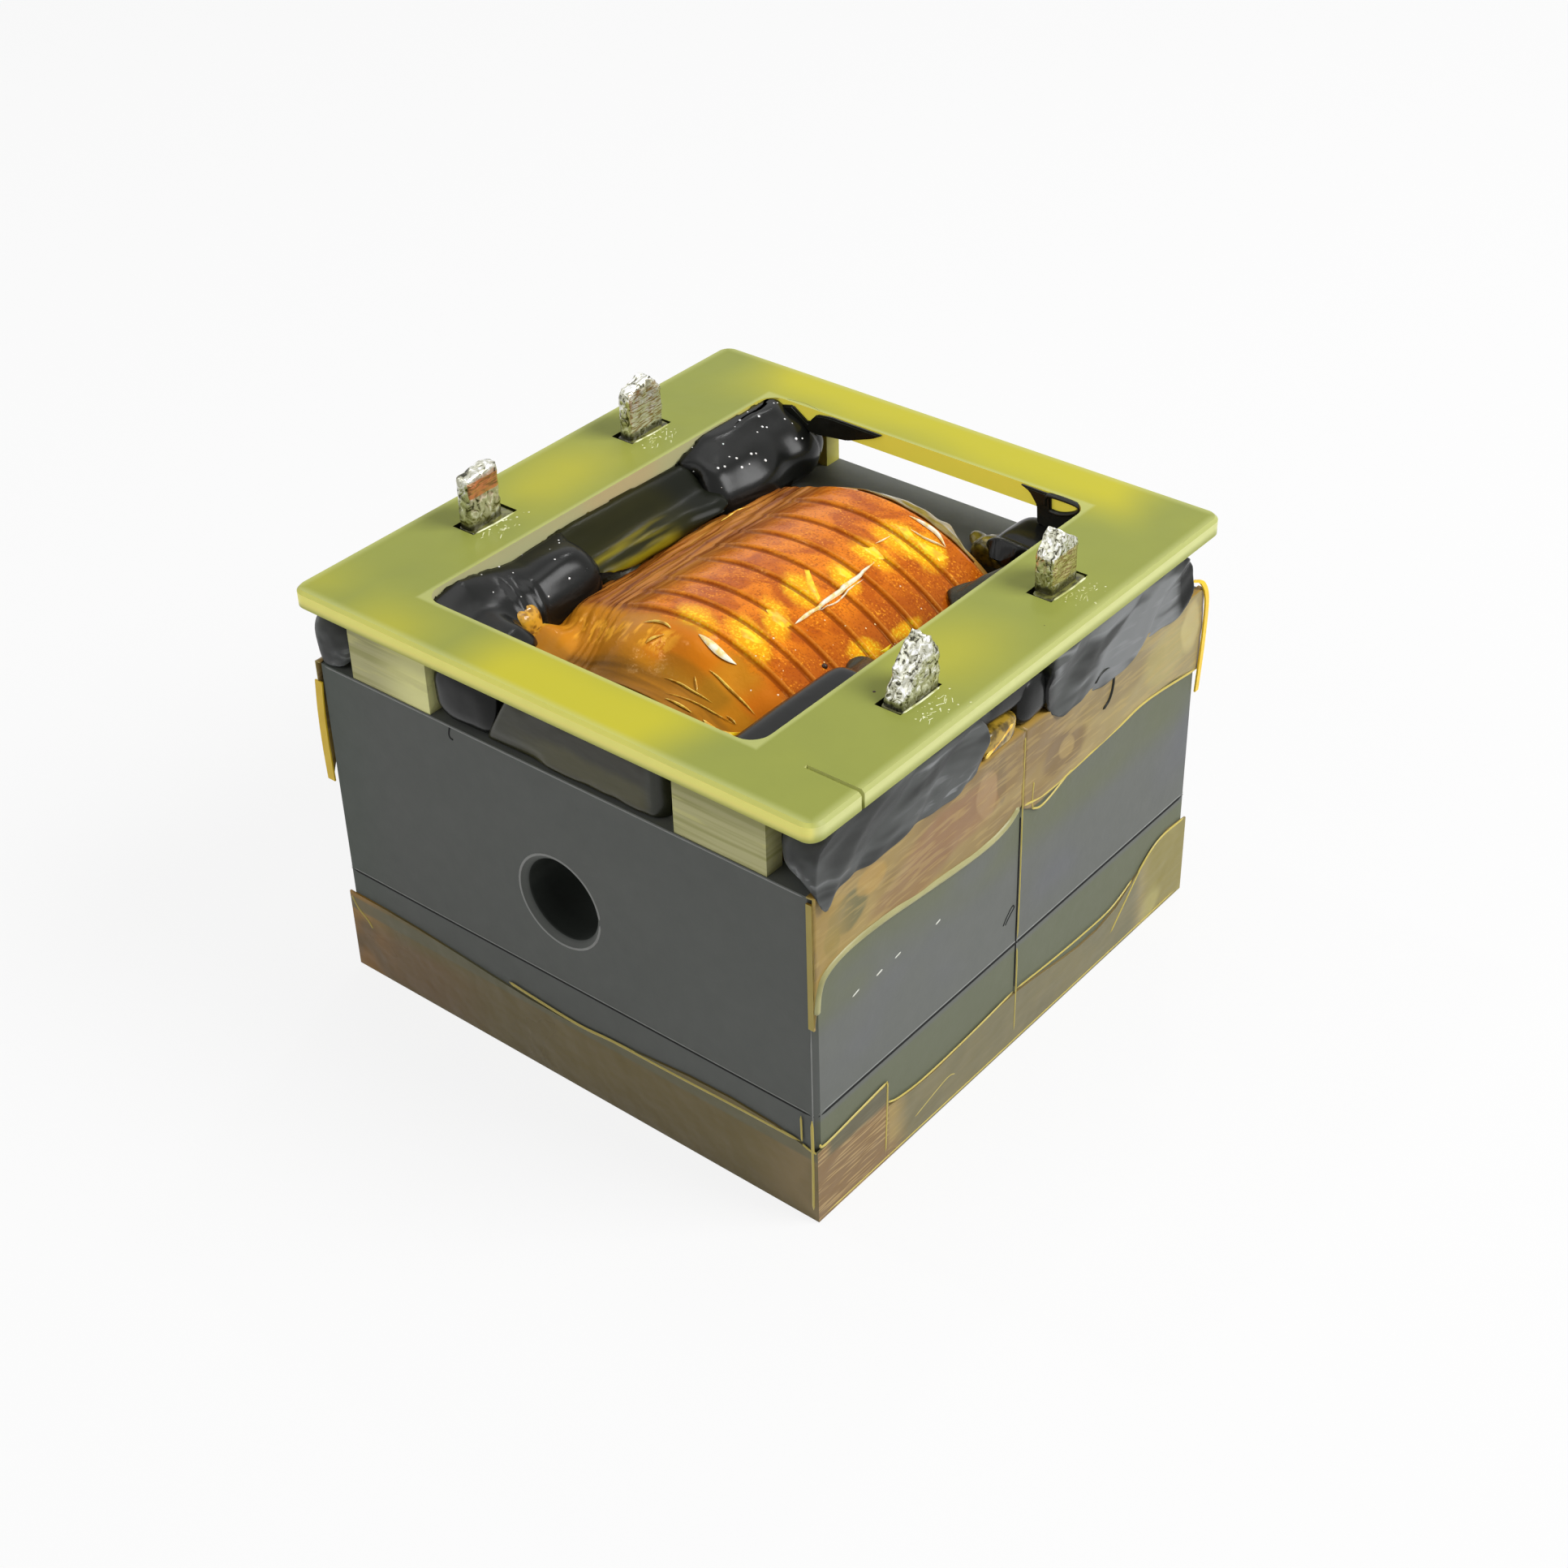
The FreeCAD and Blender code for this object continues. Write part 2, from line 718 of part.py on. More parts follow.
def lead_wrap_shape():
    """Film tape over the two left leads where they lie side by side without a sleeve."""
    front = size.sleeve_inner_front - size.sleeve_margin
    rear = size.sleeve_inner_left_rear - size.sleeve_margin
    reach = size.lead_radius + size.sleeve_wall
    outline = [
        (-size.inner_run - reach, -front, size.sleeve_round),
        (-size.inner_run + reach, -front, size.sleeve_round),
        (-size.inner_run + reach, rear, size.sleeve_round),
        (-size.inner_run - reach, rear, size.sleeve_round),
    ]
    height = size.sleeve_height - size.sleeve_wall
    slab = Part.Face(rounded_outline(outline)).extrude(Vector(0, 0, height))
    slab.translate(Vector(0, 0, size.sleeve_bottom))
    bundle = slab.makeChamfer(size.sleeve_round / 2, [edge for edge in slab.Edges if is_rim(edge)])
    room = [
        mirrored(lead_room((LEFT, end), size.wrap_fit), LEFT, end) for end in (FRONT, REAR)
    ]
    return bundle.cut(room + [about_axis(size.jacket_crown_radius + size.wrap_fit)])


lead_rooms = [mirrored(lead_room(corner, size.wrap_fit), *corner) for corner in CORNERS]
jacket = jacket_shape()
jacket.translate(Vector(0, 0, size.axis))
winding_jacket = feature("winding_jacket", jacket.cut(lead_rooms))
leads = []
sleeves = []
for side, end in CORNERS:
    where = f"{SIDE_NAMES[side]}_{END_NAMES[end]}"
    leads.append(feature(f"lead_{where}", mirrored(lead_shape((side, end)), side, end)))
    sleeves.append(feature(f"sleeve_{where}", mirrored(sleeve_shape((side, end)), side, end)))
lead_wrap = feature("lead_wrap_left", lead_wrap_shape())


def barrier_film_shape():
    """A film that stands on the core behind the front strips, one end curled back on itself."""
    wall = size.barrier_wall
    height = size.board_bottom - size.core_top - size.barrier_gap
    front = -size.spacer_back + size.sleeve_margin
    inner_side = size.inner_run - size.lead_turn
    left = size.sleeve_tail_left_front + size.barrier_gap - inner_side
    right = inner_side - size.barrier_gap - size.barrier_curl
    upright = Part.makeBox(right - left, wall, height, Vector(left, front, size.core_top))
    foot = Part.makeBox(right - left, size.barrier_foot, wall, Vector(left, front, size.core_top))
    centre = Vector(right, front + size.barrier_curl, size.core_top)
    outer = Part.makeCylinder(size.barrier_curl, height, centre, Vector(0, 0, 1), 180)
    inner = Part.makeCylinder(size.barrier_curl - wall, height, centre, Vector(0, 0, 1), 180)
    curl = outer.cut(inner)
    curl.rotate(centre, Vector(0, 0, 1), -90)
    return upright.fuse([foot, curl]).removeSplitter()


barrier_film = feature("barrier_film", barrier_film_shape())


# The pin board and the strips that it stands on
def drawn_rectangle(sketch, width, depth, across="0", along="0"):
    """A rectangle in a sketch, with its size and its centre bound to the sheet."""
    sketch.addGeometry([
        Part.LineSegment(Vector(-1, -1, 0), Vector(1, -1, 0)),
        Part.LineSegment(Vector(1, -1, 0), Vector(1, 1, 0)),
        Part.LineSegment(Vector(1, 1, 0), Vector(-1, 1, 0)),
        Part.LineSegment(Vector(-1, 1, 0), Vector(-1, -1, 0)),
    ])
    first = sketch.GeometryCount - 4
    for n in range(4):
        ends = (first + n, 2, first + (n + 1) % 4, 1)
        sketch.addConstraint(Sketcher.Constraint("Coincident", *ends))
    for n, kind in enumerate(("Horizontal", "Vertical", "Horizontal", "Vertical")):
        sketch.addConstraint(Sketcher.Constraint(kind, first + n))
    low = (first, 1)
    high = (first + 2, 1)
    bounds = [
        ("DistanceX", low, f"{across} - ({width}) / 2", -1.0),
        ("DistanceX", high, f"{across} + ({width}) / 2", 1.0),
        ("DistanceY", low, f"{along} - ({depth}) / 2", -1.0),
        ("DistanceY", high, f"{along} + ({depth}) / 2", 1.0),
    ]
    for kind, point, expression, guess in bounds:
        number = sketch.addConstraint(Sketcher.Constraint(kind, -1, 1, *point, guess))
        sketch.setExpression(f"Constraints[{number}]", expression)


def board_sketch(body, name):
    """A sketch on the board's own base plane."""
    sketch = body.newObject("Sketcher::SketchObject", name)
    plane = next(f for f in body.Origin.OriginFeatures if f.Role == "XY_Plane")
    sketch.AttachmentSupport = [(plane, "")]
    sketch.MapMode = "FlatFace"
    return sketch


def cut_through(body, name, sketch, length):
    """A pocket through the board from its base plane upwards."""
    pocket = body.newObject("PartDesign::Pocket", name)
    pocket.Profile = sketch
    pocket.Reversed = True
    bind(pocket, Length=length)
    sketch.Visibility = False
    body.Tip = pocket
    return pocket


def rounded_uprights(body, name, base, radius, reach_x, reach_y):
    """The four upright corners of one rectangle of the board, rounded."""
    doc.recompute()
    names = []
    for n, edge in enumerate(base.Shape.Edges, start=1):
        box = edge.BoundBox
        if box.ZLength < size.board_thickness - 0.01 or box.XLength + box.YLength > 0.01:
            continue
        if abs(abs(box.Center.x) - reach_x) < 0.01 and abs(abs(box.Center.y) - reach_y) < 0.01:
            names.append(f"Edge{n}")
    rounding = body.newObject("PartDesign::Fillet", name)
    rounding.Base = (base, names)
    bind(rounding, Radius=radius)
    body.Tip = rounding
    return rounding


def pin_board():
    """The board: a frame with a window, four slots for the tinned ends and a saw cut."""
    body = doc.addObject("PartDesign::Body", "pin_board")
    body.Label = "pin_board"
    outline = board_sketch(body, "board_outline")
    drawn_rectangle(outline, f"2 * {BOARD_SIDE}", f"2 * {BOARD_END}")
    drawn_rectangle(
        outline, f"2 * ({BOARD_SIDE} - dims.side_rail)", f"2 * ({BOARD_END} - dims.end_rail)"
    )
    plate = body.newObject("PartDesign::Pad", "board_plate")
    plate.Profile = outline
    bind(plate, Length="dims.board_thickness")
    outer_corner = (size.board_side, size.board_end)
    inner_corner = (size.board_side - size.side_rail, size.board_end - size.end_rail)
    corners = rounded_uprights(body, "board_corners", plate, "dims.board_corner", *outer_corner)
    rounded_uprights(body, "board_window", corners, "dims.window_corner", *inner_corner)
    slots = board_sketch(body, "board_slots")
    slot_width = "dims.tab_thickness + 2 * dims.slot_clearance"
    slot_length = "dims.tab_length + 2 * dims.slot_clearance"
    for side, end in CORNERS:
        across = f"{side} * {TAB_ACROSS}"
        drawn_rectangle(slots, slot_width, slot_length, across, f"{end} * {TAB_ALONG}")
    cut_through(body, "board_slot_cuts", slots, "dims.board_thickness")
    slit = board_sketch(body, "board_slit")
    slit_middle = f"{BOARD_SIDE} - dims.slit_length / 2"
    slit_place = f"dims.slit_inset - {BOARD_END}"
    drawn_rectangle(slit, "dims.slit_length", "dims.slit_width", slit_middle, slit_place)
    sawn = cut_through(body, "board_saw_cut", slit, "dims.board_thickness")
    doc.recompute()
    broken = body.newObject("PartDesign::Chamfer", "board_broken_edges")
    broken.Base = (sawn, [f"Edge{n}" for n in outer_rim(sawn.Shape)])
    bind(broken, Size="dims.board_edge")
    body.Tip = broken
    place(body, z=BOARD_BOTTOM)
    return body


def outer_rim(shape):
    """Numbers of the level edges round the outside of the board, clear of the saw cut."""
    numbers = []
    for n, edge in enumerate(shape.Edges, start=1):
        box = edge.BoundBox
        across = max(abs(box.XMin), abs(box.XMax))
        along = max(abs(box.YMin), abs(box.YMax))
        outside = across > size.board_side - 0.01 or along > size.board_end - 0.01
        if outside and box.ZLength < 0.001 and edge.Length > size.slit_width * 2 and not is_slit_side(edge):
            numbers.append(n)
    return numbers


def is_slit_side(edge):
    """One of the two long sides of the saw cut."""
    box = edge.BoundBox
    place = size.board_end - size.slit_inset
    return box.YLength < 0.001 and abs(abs(box.YMin) - place) < size.slit_width


board = pin_board()

spacers = []
for side, end in CORNERS:
    centre = f"{side} * ({HALF_WIDTH} - dims.spacer_side_inset - dims.spacer_length / 2)"
    middle = f"{end} * ({HALF_DEPTH} - dims.spacer_inset - dims.spacer_thickness / 2)"
    strip = block(
        f"spacer_{SIDE_NAMES[side]}_{END_NAMES[end]}",
        "dims.spacer_length",
        "dims.spacer_thickness",
        "dims.spacer_height",
        f"{centre} - dims.spacer_length / 2",
        f"{middle} - dims.spacer_thickness / 2",
        CORE_TOP,
    )
    spacers.append(strip)


# Adhesive tapes
# The free edges of the tapes, as (share of the half length, height over the nominal edge as a share
# of the tear).
FRONT_EDGE = [(-1.0, 0.9), (-0.5, 0.3), (0.0, -0.5), (0.45, 0.7), (1.0, -0.2)]
REAR_EDGE = [(-1.0, 0.2), (-0.3, 0.6), (0.4, -0.3), (1.0, 0.3)]
SIDE_FRONT_EDGE = [(-1.0, 0.0), (-0.66, 0.9)]
SIDE_EDGE = [(-0.66, 0.9), (-0.52, 0.2), (0.0, 0.7), (0.6, 0.1), (0.8, 3.4), (1.0, 3.6)]
BAND_EDGES = {
    (LEFT, FRONT): [(0.0, 0.0), (0.5, -0.5), (0.85, -1.5), (1.0, -4.8)],
    (LEFT, REAR): [(0.0, 0.4), (0.5, -0.4), (1.0, 0.2)],
    (RIGHT, FRONT): [(0.0, 0.6), (0.4, -0.2), (0.72, -0.6), (0.9, -2.8), (1.0, -4.9)],
    (RIGHT, REAR): [(0.0, 0.0), (0.08, -1.1), (0.5, -2.6), (1.0, -4.4)],
}


# A torn edge is drawn as this many short straight runs between two of its points.
TEAR_RUNS = 3


def torn_edge(points):
    """Points along a line through two points, or along a smooth curve through more."""
    if len(points) == 2:
        return points
    curve = Part.BSplineCurve()
    curve.interpolate(points)
    return curve.discretize(Number=TEAR_RUNS * (len(points) - 1) + 1)


def film(low, high, thickness):
    """A sheet of film between two edges, thickened along `thickness`."""
    outline = torn_edge(low) + torn_edge(high)[::-1] + low[:1]
    return Part.Face(Part.makePolygon(outline)).extrude(thickness)


def base_wrap_shape():
    """Tape folded up round the foot of the core, its free edge left as it was torn."""
    tape = size.tape_thickness
    half_x = size.side_face + tape
    half_y = size.end_face + tape
    walls = [Part.makeBox(2 * half_x, 2 * half_y, tape, Vector(-half_x, -half_y, 0))]
    for end, edge in ((FRONT, FRONT_EDGE), (REAR, REAR_EDGE)):
        low = [Vector(-half_x, end * half_y, 0), Vector(half_x, end * half_y, 0)]
        high = [Vector(s * half_x, end * half_y, size.base_height + h * size.tape_tear) for s, h in edge]
        walls.append(film(low, high, Vector(0, -end * tape, 0)))
    for side in (LEFT, RIGHT):
        for edge, nominal in ((SIDE_FRONT_EDGE, size.base_height), (SIDE_EDGE, size.base_side_height)):
            high = [Vector(side * half_x, s * half_y, nominal + h * size.tape_tear) for s, h in edge]
            low = [Vector(side * half_x, high[0].y, 0), Vector(side * half_x, high[-1].y, 0)]
            walls.append(film(low, high, Vector(-side * tape, 0, 0)))
    return walls[0].fuse(walls[1:]).removeSplitter()


def band_shape(side, end):
    """Tape from the core's top down one side, turned a little round the corner."""
    tape = size.tape_thickness
    outside = size.side_face + tape
    corner = size.end_face + tape
    nominal = size.core_top - size.band_width
    edge = [Vector(outside, s * corner, nominal + h * size.tape_tear) for s, h in BAND_EDGES[side, end]]
    top = [Vector(outside, 0, size.sleeve_bottom), Vector(outside, corner, size.sleeve_bottom)]
    wall = film(edge, top, Vector(-tape, 0, 0))
    flap_end = size.spacer_back - size.sleeve_margin
    flap = Part.makeBox(size.band_flap, flap_end, tape, Vector(outside - size.band_flap, 0, size.core_top))
    height = size.sleeve_bottom - edge[-1].z
    if (side, end) == (RIGHT, REAR):
        turned = loose_loop(edge[-1].z, height)
    else:
        start = Vector(outside - size.band_wrap, size.end_face, edge[-1].z)
        turned = Part.makeBox(size.band_wrap, tape, height, start)
    return mirrored(wall.fuse([flap, turned]).removeSplitter(), side, end)


def loose_loop(foot, height):
    """The end of the tape, standing off the corner in a loop and back to the core's end face."""
    tape = size.tape_thickness
    radius = size.loop_radius
    centre = Vector(size.side_face + tape - radius, size.end_face, foot)
    outer = Part.makeCylinder(radius, height, centre, Vector(0, 0, 1), 180)
    inner = Part.makeCylinder(radius - tape, height, centre, Vector(0, 0, 1), 180)
    return outer.cut(inner)


base_wrap = feature("base_wrap", base_wrap_shape())
bands = [
    feature(f"band_{SIDE_NAMES[side]}_{END_NAMES[end]}", band_shape(side, end)) for side, end in CORNERS
]

doc.recompute()

nodes = core_blocks + margin_tapes + leads + sleeves + spacers + bands
nodes += [coil_former, inner_winding, interlayer_tape, outer_winding, winding_jacket]
nodes += [lead_wrap, barrier_film, board, base_wrap]

for item in doc.Objects:
    if "Invalid" in item.State or "Error" in item.State:
        raise RuntimeError(f"{item.Label} failed to build: {item.State}")
for item in nodes:
    if item.Shape.isNull() or not item.Shape.isValid():
        raise RuntimeError(f"{item.Label} has no valid shape")

os.makedirs("parts", exist_ok=True)
for item in nodes:
    item.Shape.exportStep(f"parts/{item.Label}.step")
    print(item.Label, len(item.Shape.Solids), round(item.Shape.Volume, 1))
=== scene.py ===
import math
import random

import bmesh
import bpy
from mathutils import Matrix, Vector, noise
from mathutils.bvhtree import BVHTree


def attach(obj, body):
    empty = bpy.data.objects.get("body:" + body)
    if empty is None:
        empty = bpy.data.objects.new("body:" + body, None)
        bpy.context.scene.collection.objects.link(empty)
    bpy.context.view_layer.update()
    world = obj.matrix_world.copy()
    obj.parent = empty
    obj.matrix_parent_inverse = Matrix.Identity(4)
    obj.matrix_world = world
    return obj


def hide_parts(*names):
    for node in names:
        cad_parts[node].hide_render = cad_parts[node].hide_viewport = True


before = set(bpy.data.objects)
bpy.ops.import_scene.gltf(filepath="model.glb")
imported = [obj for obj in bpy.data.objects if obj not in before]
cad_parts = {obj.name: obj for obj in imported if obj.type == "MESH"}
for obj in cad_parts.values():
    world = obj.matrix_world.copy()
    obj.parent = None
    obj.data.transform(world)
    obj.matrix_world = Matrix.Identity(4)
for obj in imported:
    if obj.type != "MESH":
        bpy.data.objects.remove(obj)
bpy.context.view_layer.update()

# noise_vector takes its offsets from the time unless it is given a seed.
NOISE_SEED = 3
noise.seed_set(NOISE_SEED)

# Lengths below are in millimetres unless a name says otherwise.
MM = 0.001
AXIS = 21.5
CORE_TOP = 35.7
CORE_SIDE = 28.9
CORE_END = 29.5
SEAM = 12.0
BOARD_LOW = 41.7
BOARD_TOP = 43.7
BOARD_SIDE = 30.0
BOARD_END = 30.5
WINDOW_SIDE = 19.2
WINDOW_END = 24.4
UP = Vector((0, 0, 1))
RIGHTWARD = Vector((1, 0, 0))
LEFTWARD = Vector((-1, 0, 0))
FORWARD = Vector((0, -1, 0))
BACKWARD = Vector((0, 1, 0))


def colour(code):
    """A linear colour from the one that a picture editor shows."""
    channels = [int(code[n : n + 2], 16) / 255 for n in (0, 2, 4)]
    linear = [((c + 0.055) / 1.055) ** 2.4 if c > 0.04045 else c / 12.92 for c in channels]
    return (*linear, 1.0)


def smooth(value, low, high):
    """0 at low and 1 at high, with a soft start and end; high may be the lower number."""
    share = min(1.0, max(0.0, (value - low) / (high - low)))
    return share * share * (3 - 2 * share)


def along_line(value, stops):
    """A value read off the straight runs between (place, value) stops."""
    if value <= stops[0][0]:
        return stops[0][1]
    for (near, low), (far, high) in zip(stops, stops[1:]):
        if value <= far:
            return low + (high - low) * (value - near) / (far - near)
    return stops[-1][1]


def arithmetic(operation, flipped=False):
    def work(self, other=0.0):
        return self.graph.sum(operation, *((other, self) if flipped else (self, other)))

    return work


class Value:
    """A number that the shader works out at each point; arithmetic on it adds nodes."""

    def __init__(self, graph, socket):
        self.graph = graph
        self.socket = socket

    __add__ = arithmetic("ADD")
    __sub__ = arithmetic("SUBTRACT")
    __rsub__ = arithmetic("SUBTRACT", flipped=True)
    __mul__ = arithmetic("MULTIPLY")
    __pow__ = arithmetic("POWER")
    __abs__ = arithmetic("ABSOLUTE")

    def __truediv__(self, other):
        return self * (1 / other)

    def step(self, low, high):
        """0 at low and 1 at high, with a soft start and end; high may be the lower number."""
        inputs = {"Value": self, "From Min": min(low, high), "From Max": max(low, high)}
        result = self.graph.node("ShaderNodeMapRange", inputs, "Result", interpolation_type="SMOOTHSTEP")
        return result if low < high else 1.0 - result

    def within(self, low, high, soft):
        """1 between low and high, falling to 0 over a soft edge outside them."""
        return self.step(low - soft, low) * self.step(high + soft, high)


class Graph:
    """Adds nodes to a tree."""

    def __init__(self, tree):
        self.tree = tree

    def node(self, kind, inputs, output=0, **settings):
        """A new node with these inputs and settings; the result is one of its outputs."""
        node = self.tree.nodes.new(kind)
        for name, value in settings.items():
            setattr(node, name, value)
        for socket, value in inputs.items():
            self.feed(node.inputs[socket], value)
        return Value(self, node.outputs[output])

    def feed(self, socket, value):
        if isinstance(value, Value):
            self.tree.links.new(value.socket, socket)
        else:
            socket.default_value = colour(value) if isinstance(value, str) else value

    def sum(self, operation, *values):
        return self.node("ShaderNodeMath", dict(enumerate(values)), operation=operation)

    def most(self, first, second):
        return self.sum("MAXIMUM", first, second)

    def seen_directly(self):
        """1 for rays from the camera and for reflected and transmitted ones."""
        kinds = ("Is Camera Ray", "Is Glossy Ray", "Is Transmission Ray")
        camera_ray, glossy, transmitted = (self.node("ShaderNodeLightPath", {}, kind) for kind in kinds)
        return self.most(self.most(camera_ray, glossy), transmitted)


class Look(Graph):
    """A material, built a node at a time. Its places are in millimetres on the object."""

    def __init__(self, name, **settings):
        self.material = bpy.data.materials.new(name)
        self.material.use_nodes = True
        super().__init__(self.material.node_tree)
        self.skin = self.tree.nodes["Principled BSDF"].inputs
        for socket, value in settings.items():
            self.feed(self.skin[socket.replace("_", " ")], value)
        where = self.node("ShaderNodeTexCoord", {}, "Object")
        self.where = self.node("ShaderNodeVectorMath", {0: where, "Scale": 1 / MM}, operation="SCALE")
        self.place = self.parts(self.where)
        self.facing = self.parts(self.node("ShaderNodeNewGeometry", {}, "Normal"))

    def parts(self, vector):
        return [self.node("ShaderNodeSeparateXYZ", {0: vector}, n) for n in range(3)]

    def noise(self, grain, detail=3.0, stretch=None, turn=(0, 0, 0), distortion=0.0):
        """Cloudy noise whose lumps are about `grain` millimetres across."""
        where = self.where
        if stretch:
            where = self.node("ShaderNodeMapping", {"Vector": where, "Rotation": turn, "Scale": stretch})
        inputs = {"Vector": where, "Scale": 1 / grain, "Detail": detail, "Distortion": distortion}
        return self.node("ShaderNodeTexNoise", inputs, "Fac")

    def mix(self, share, first, second):
        return self.node("ShaderNodeMix", {0: share, 6: first, 7: second}, 2, data_type="RGBA")

    def paint(self, value):
        self.feed(self.skin["Base Color"], value)

    def rough(self, share, low, high):
        inputs = {"Value": share, "To Min": low, "To Max": high}
        self.feed(self.skin["Roughness"], self.node("ShaderNodeMapRange", inputs, "Result"))

    def bump(self, height, depth):
        """Raises the surface by `depth` millimetres where the height is 1."""
        raised = self.node("ShaderNodeBump", {"Strength": 1.0, "Distance": depth * MM, "Height": height})
        for socket in ("Normal", "Coat Normal"):
            self.feed(self.skin[socket], raised)


# Materials of the parts that come from the solid model.
YELLOW_AREAS = (
    # centre x, centre y, half width, half depth, strength
    (0.0, 29.5, 22.0, 5.0, 1.0),
    (2.5, -29.0, 9.5, 5.0, 1.0),
    (-17.5, -30.0, 3.0, 3.5, 0.55),
    (-24.5, -1.0, 3.0, 5.0, 0.6),
    (23.5, -3.8, 3.0, 4.0, 0.5),
    (-29.0, -27.5, 1.5, 2.0, 0.45),
)
SLOT_X = 24.6
SLOT_Y = 11.0


def board_look():
    look = Look("board_laminate", Roughness=0.36, Specular_IOR_Level=0.13)
    x, y, z = look.place
    drift = (look.noise(12.0, 1.0) - 0.5) * 5.0
    drift_x = x + drift
    drift_y = y + drift
    yellow = None
    for centre_x, centre_y, half_width, half_depth, strength in YELLOW_AREAS:
        across = abs(drift_x - centre_x)
        down = abs(drift_y - centre_y)
        area = across.step(half_width + 5.5, half_width - 3.0) * down.step(half_depth + 5.0, half_depth - 3.5)
        area = area * strength
        yellow = area if yellow is None else look.most(yellow, area)
    green = look.mix(look.noise(7.0, 2.0), "8c9346", "999f48")
    top = look.mix(yellow, green, "c4bc34")
    # Painted highlight: a pale line on top along the rounded outer rim and round the window's rim.
    rim_x = BOARD_SIDE - abs(x)
    rim_y = BOARD_END - abs(y)
    rim = look.sum("MINIMUM", rim_x, rim_y)
    inner_x = abs(x) - WINDOW_SIDE
    inner_y = abs(y) - WINDOW_END
    inner = look.most(inner_x, inner_y)
    glow = look.most(rim.step(1.2, 0.15), inner.step(0.6, 0.15) * 0.9)
    top = look.mix(glow * 0.6, top, "c6ca82")
    # Painted light on the outer edge faces: lighter towards the top, and lighter still along the front.
    height = z - BOARD_LOW
    pale = look.mix(height.step(0.35, 1.25), "a3a85c", "d6d993")
    painted_front_light = y.step(-29.8, -30.3) * height.step(0.1, 1.0)
    pale = look.mix(painted_front_light * 0.9, pale, "efe98c")
    wall = look.mix(inner.step(0.3, 0.1), pale, look.mix(y.step(14.0, 24.2), "c9c795", "f2e45c"))
    peach = y.within(-1.0, 5.0, 4.0) * x.step(-18.0, -19.0)
    wall = look.mix(peach * 0.35, wall, "dcb68a")
    # Painted shade: the walls inside the lead slots are dark.
    slot_x = abs(abs(x) - SLOT_X)
    slot_y = abs(abs(y) - SLOT_Y)
    slot_shade = slot_x.step(1.55, 1.42) * slot_y.step(3.1, 2.95)
    wall = look.mix(slot_shade, wall, "2b2c18")
    sideways = abs(look.facing[2]).step(0.75, 0.3)
    look.paint(look.mix(sideways, top, wall))
    # Painted light: an emission makes the front edge and the window's rear wall glow, standing in for light the
    # laminate lets through there.
    rear_wall = y.step(24.2, 24.35) * inner.step(0.3, 0.1) * abs(x).step(19.1, 18.6)
    front_edge = look.facing[1].step(-0.05, -0.75) * y.step(-29.2, -30.2) * height.step(-0.4, 1.4)
    through = look.most(front_edge * 0.2, rear_wall * sideways * 0.3)
    look.feed(look.skin["Emission Color"], "fff359")
    look.feed(look.skin["Emission Strength"], through)
    look.rough(look.noise(2.0, 2.0), 0.28, 0.42)
    look.bump(look.noise(1.1, 2.0), 0.015)
    return look.material


def ferrite_look():
    look = Look("ferrite", Roughness=0.62, Specular_IOR_Level=0.25)
    x, y, z = look.place
    tone = look.mix(look.noise(8.0, 2.0), "676a66", "6f716d")
    grain = look.mix(look.noise(0.35, 2.0), "646662", tone)
    tone = look.mix(0.75, grain, tone)
    # Thin film over the sides casts them olive where it clings.
    on_side = abs(x).step(28.4, 28.8)
    under_band = z.within(24.0, 29.0, 4.0) * look.noise(10.0, 1.0)
    low = z.step(11.8, 11.0)
    cast = on_side * look.most(under_band * 1.3, low * 0.7)
    tone = look.mix(cast * 0.85, tone, "6b7050")
    blue = on_side * z.within(17.0, 24.0, 4.0) * look.noise(14.0, 1.0).step(0.45, 0.65)
    tone = look.mix(blue * 0.5, tone, "6c6d74")
    olive_front = y.step(-28.9, -29.4) * x.step(-20.0, -28.6)
    tone = look.mix(olive_front * 0.35, tone, "566557")
    # Painted shade: faces turned to the front are darker.
    tone = look.mix(look.facing[1].step(-0.5, -0.8) * 0.35, tone, "494c49")
    # The inside of the bore and the end of the pocket are painted darker, the bore most near its mouth.
    bore = abs(x).step(4.6, 4.1) * z.within(17.2, 25.8, 0.2)
    bore = bore * abs(y).step(29.3, 28.7)
    deep = abs(y).step(27.0, 20.0)
    tone = look.mix(bore, tone, look.mix(deep, "333733", "7d827c"))
    pocket = abs(y).step(22.6, 21.8) * abs(x).step(21.0, 19.0)
    pocket = pocket * look.facing[2].step(0.7, 0.3)
    look.paint(look.mix(pocket * 0.6, tone, "3d4438"))
    look.rough(look.noise(1.5, 3.0), 0.5, 0.72)
    look.bump(look.noise(0.5, 4.0), 0.02)
    return look.material


def spacer_look():
    look = Look("spacer_laminate", Roughness=0.45, Specular_IOR_Level=0.25)
    x, y, z = look.place
    layers = look.noise(1.0, 3.0, stretch=(0.05, 0.05, 1.6))
    front = look.mix(layers.step(0.38, 0.62), "c9c58d", "afac6e")
    bright = x.step(-22.0, -15.5) * x.step(0.0, -5.0)
    front = look.mix(bright * 0.95, front, "fffcae")
    # Painted shade: darker towards the top, under the board.
    front = look.mix(z.step(38.6, 40.6) * 0.35, front, "6f6c40")
    streak = look.noise(1.2, 2.0, stretch=(0.12, 1, 1.2), turn=(0, 0.3, 0)).step(0.56, 0.66)
    front = look.mix(streak * 0.5, front, "dcd88c")
    rear = look.mix(layers, "d2cb66", "bdb855")
    look.paint(look.mix(y.step(0.0, 1.0), front, rear))
    look.rough(layers, 0.3, 0.5)
    look.bump(layers, 0.05)
    return look.material


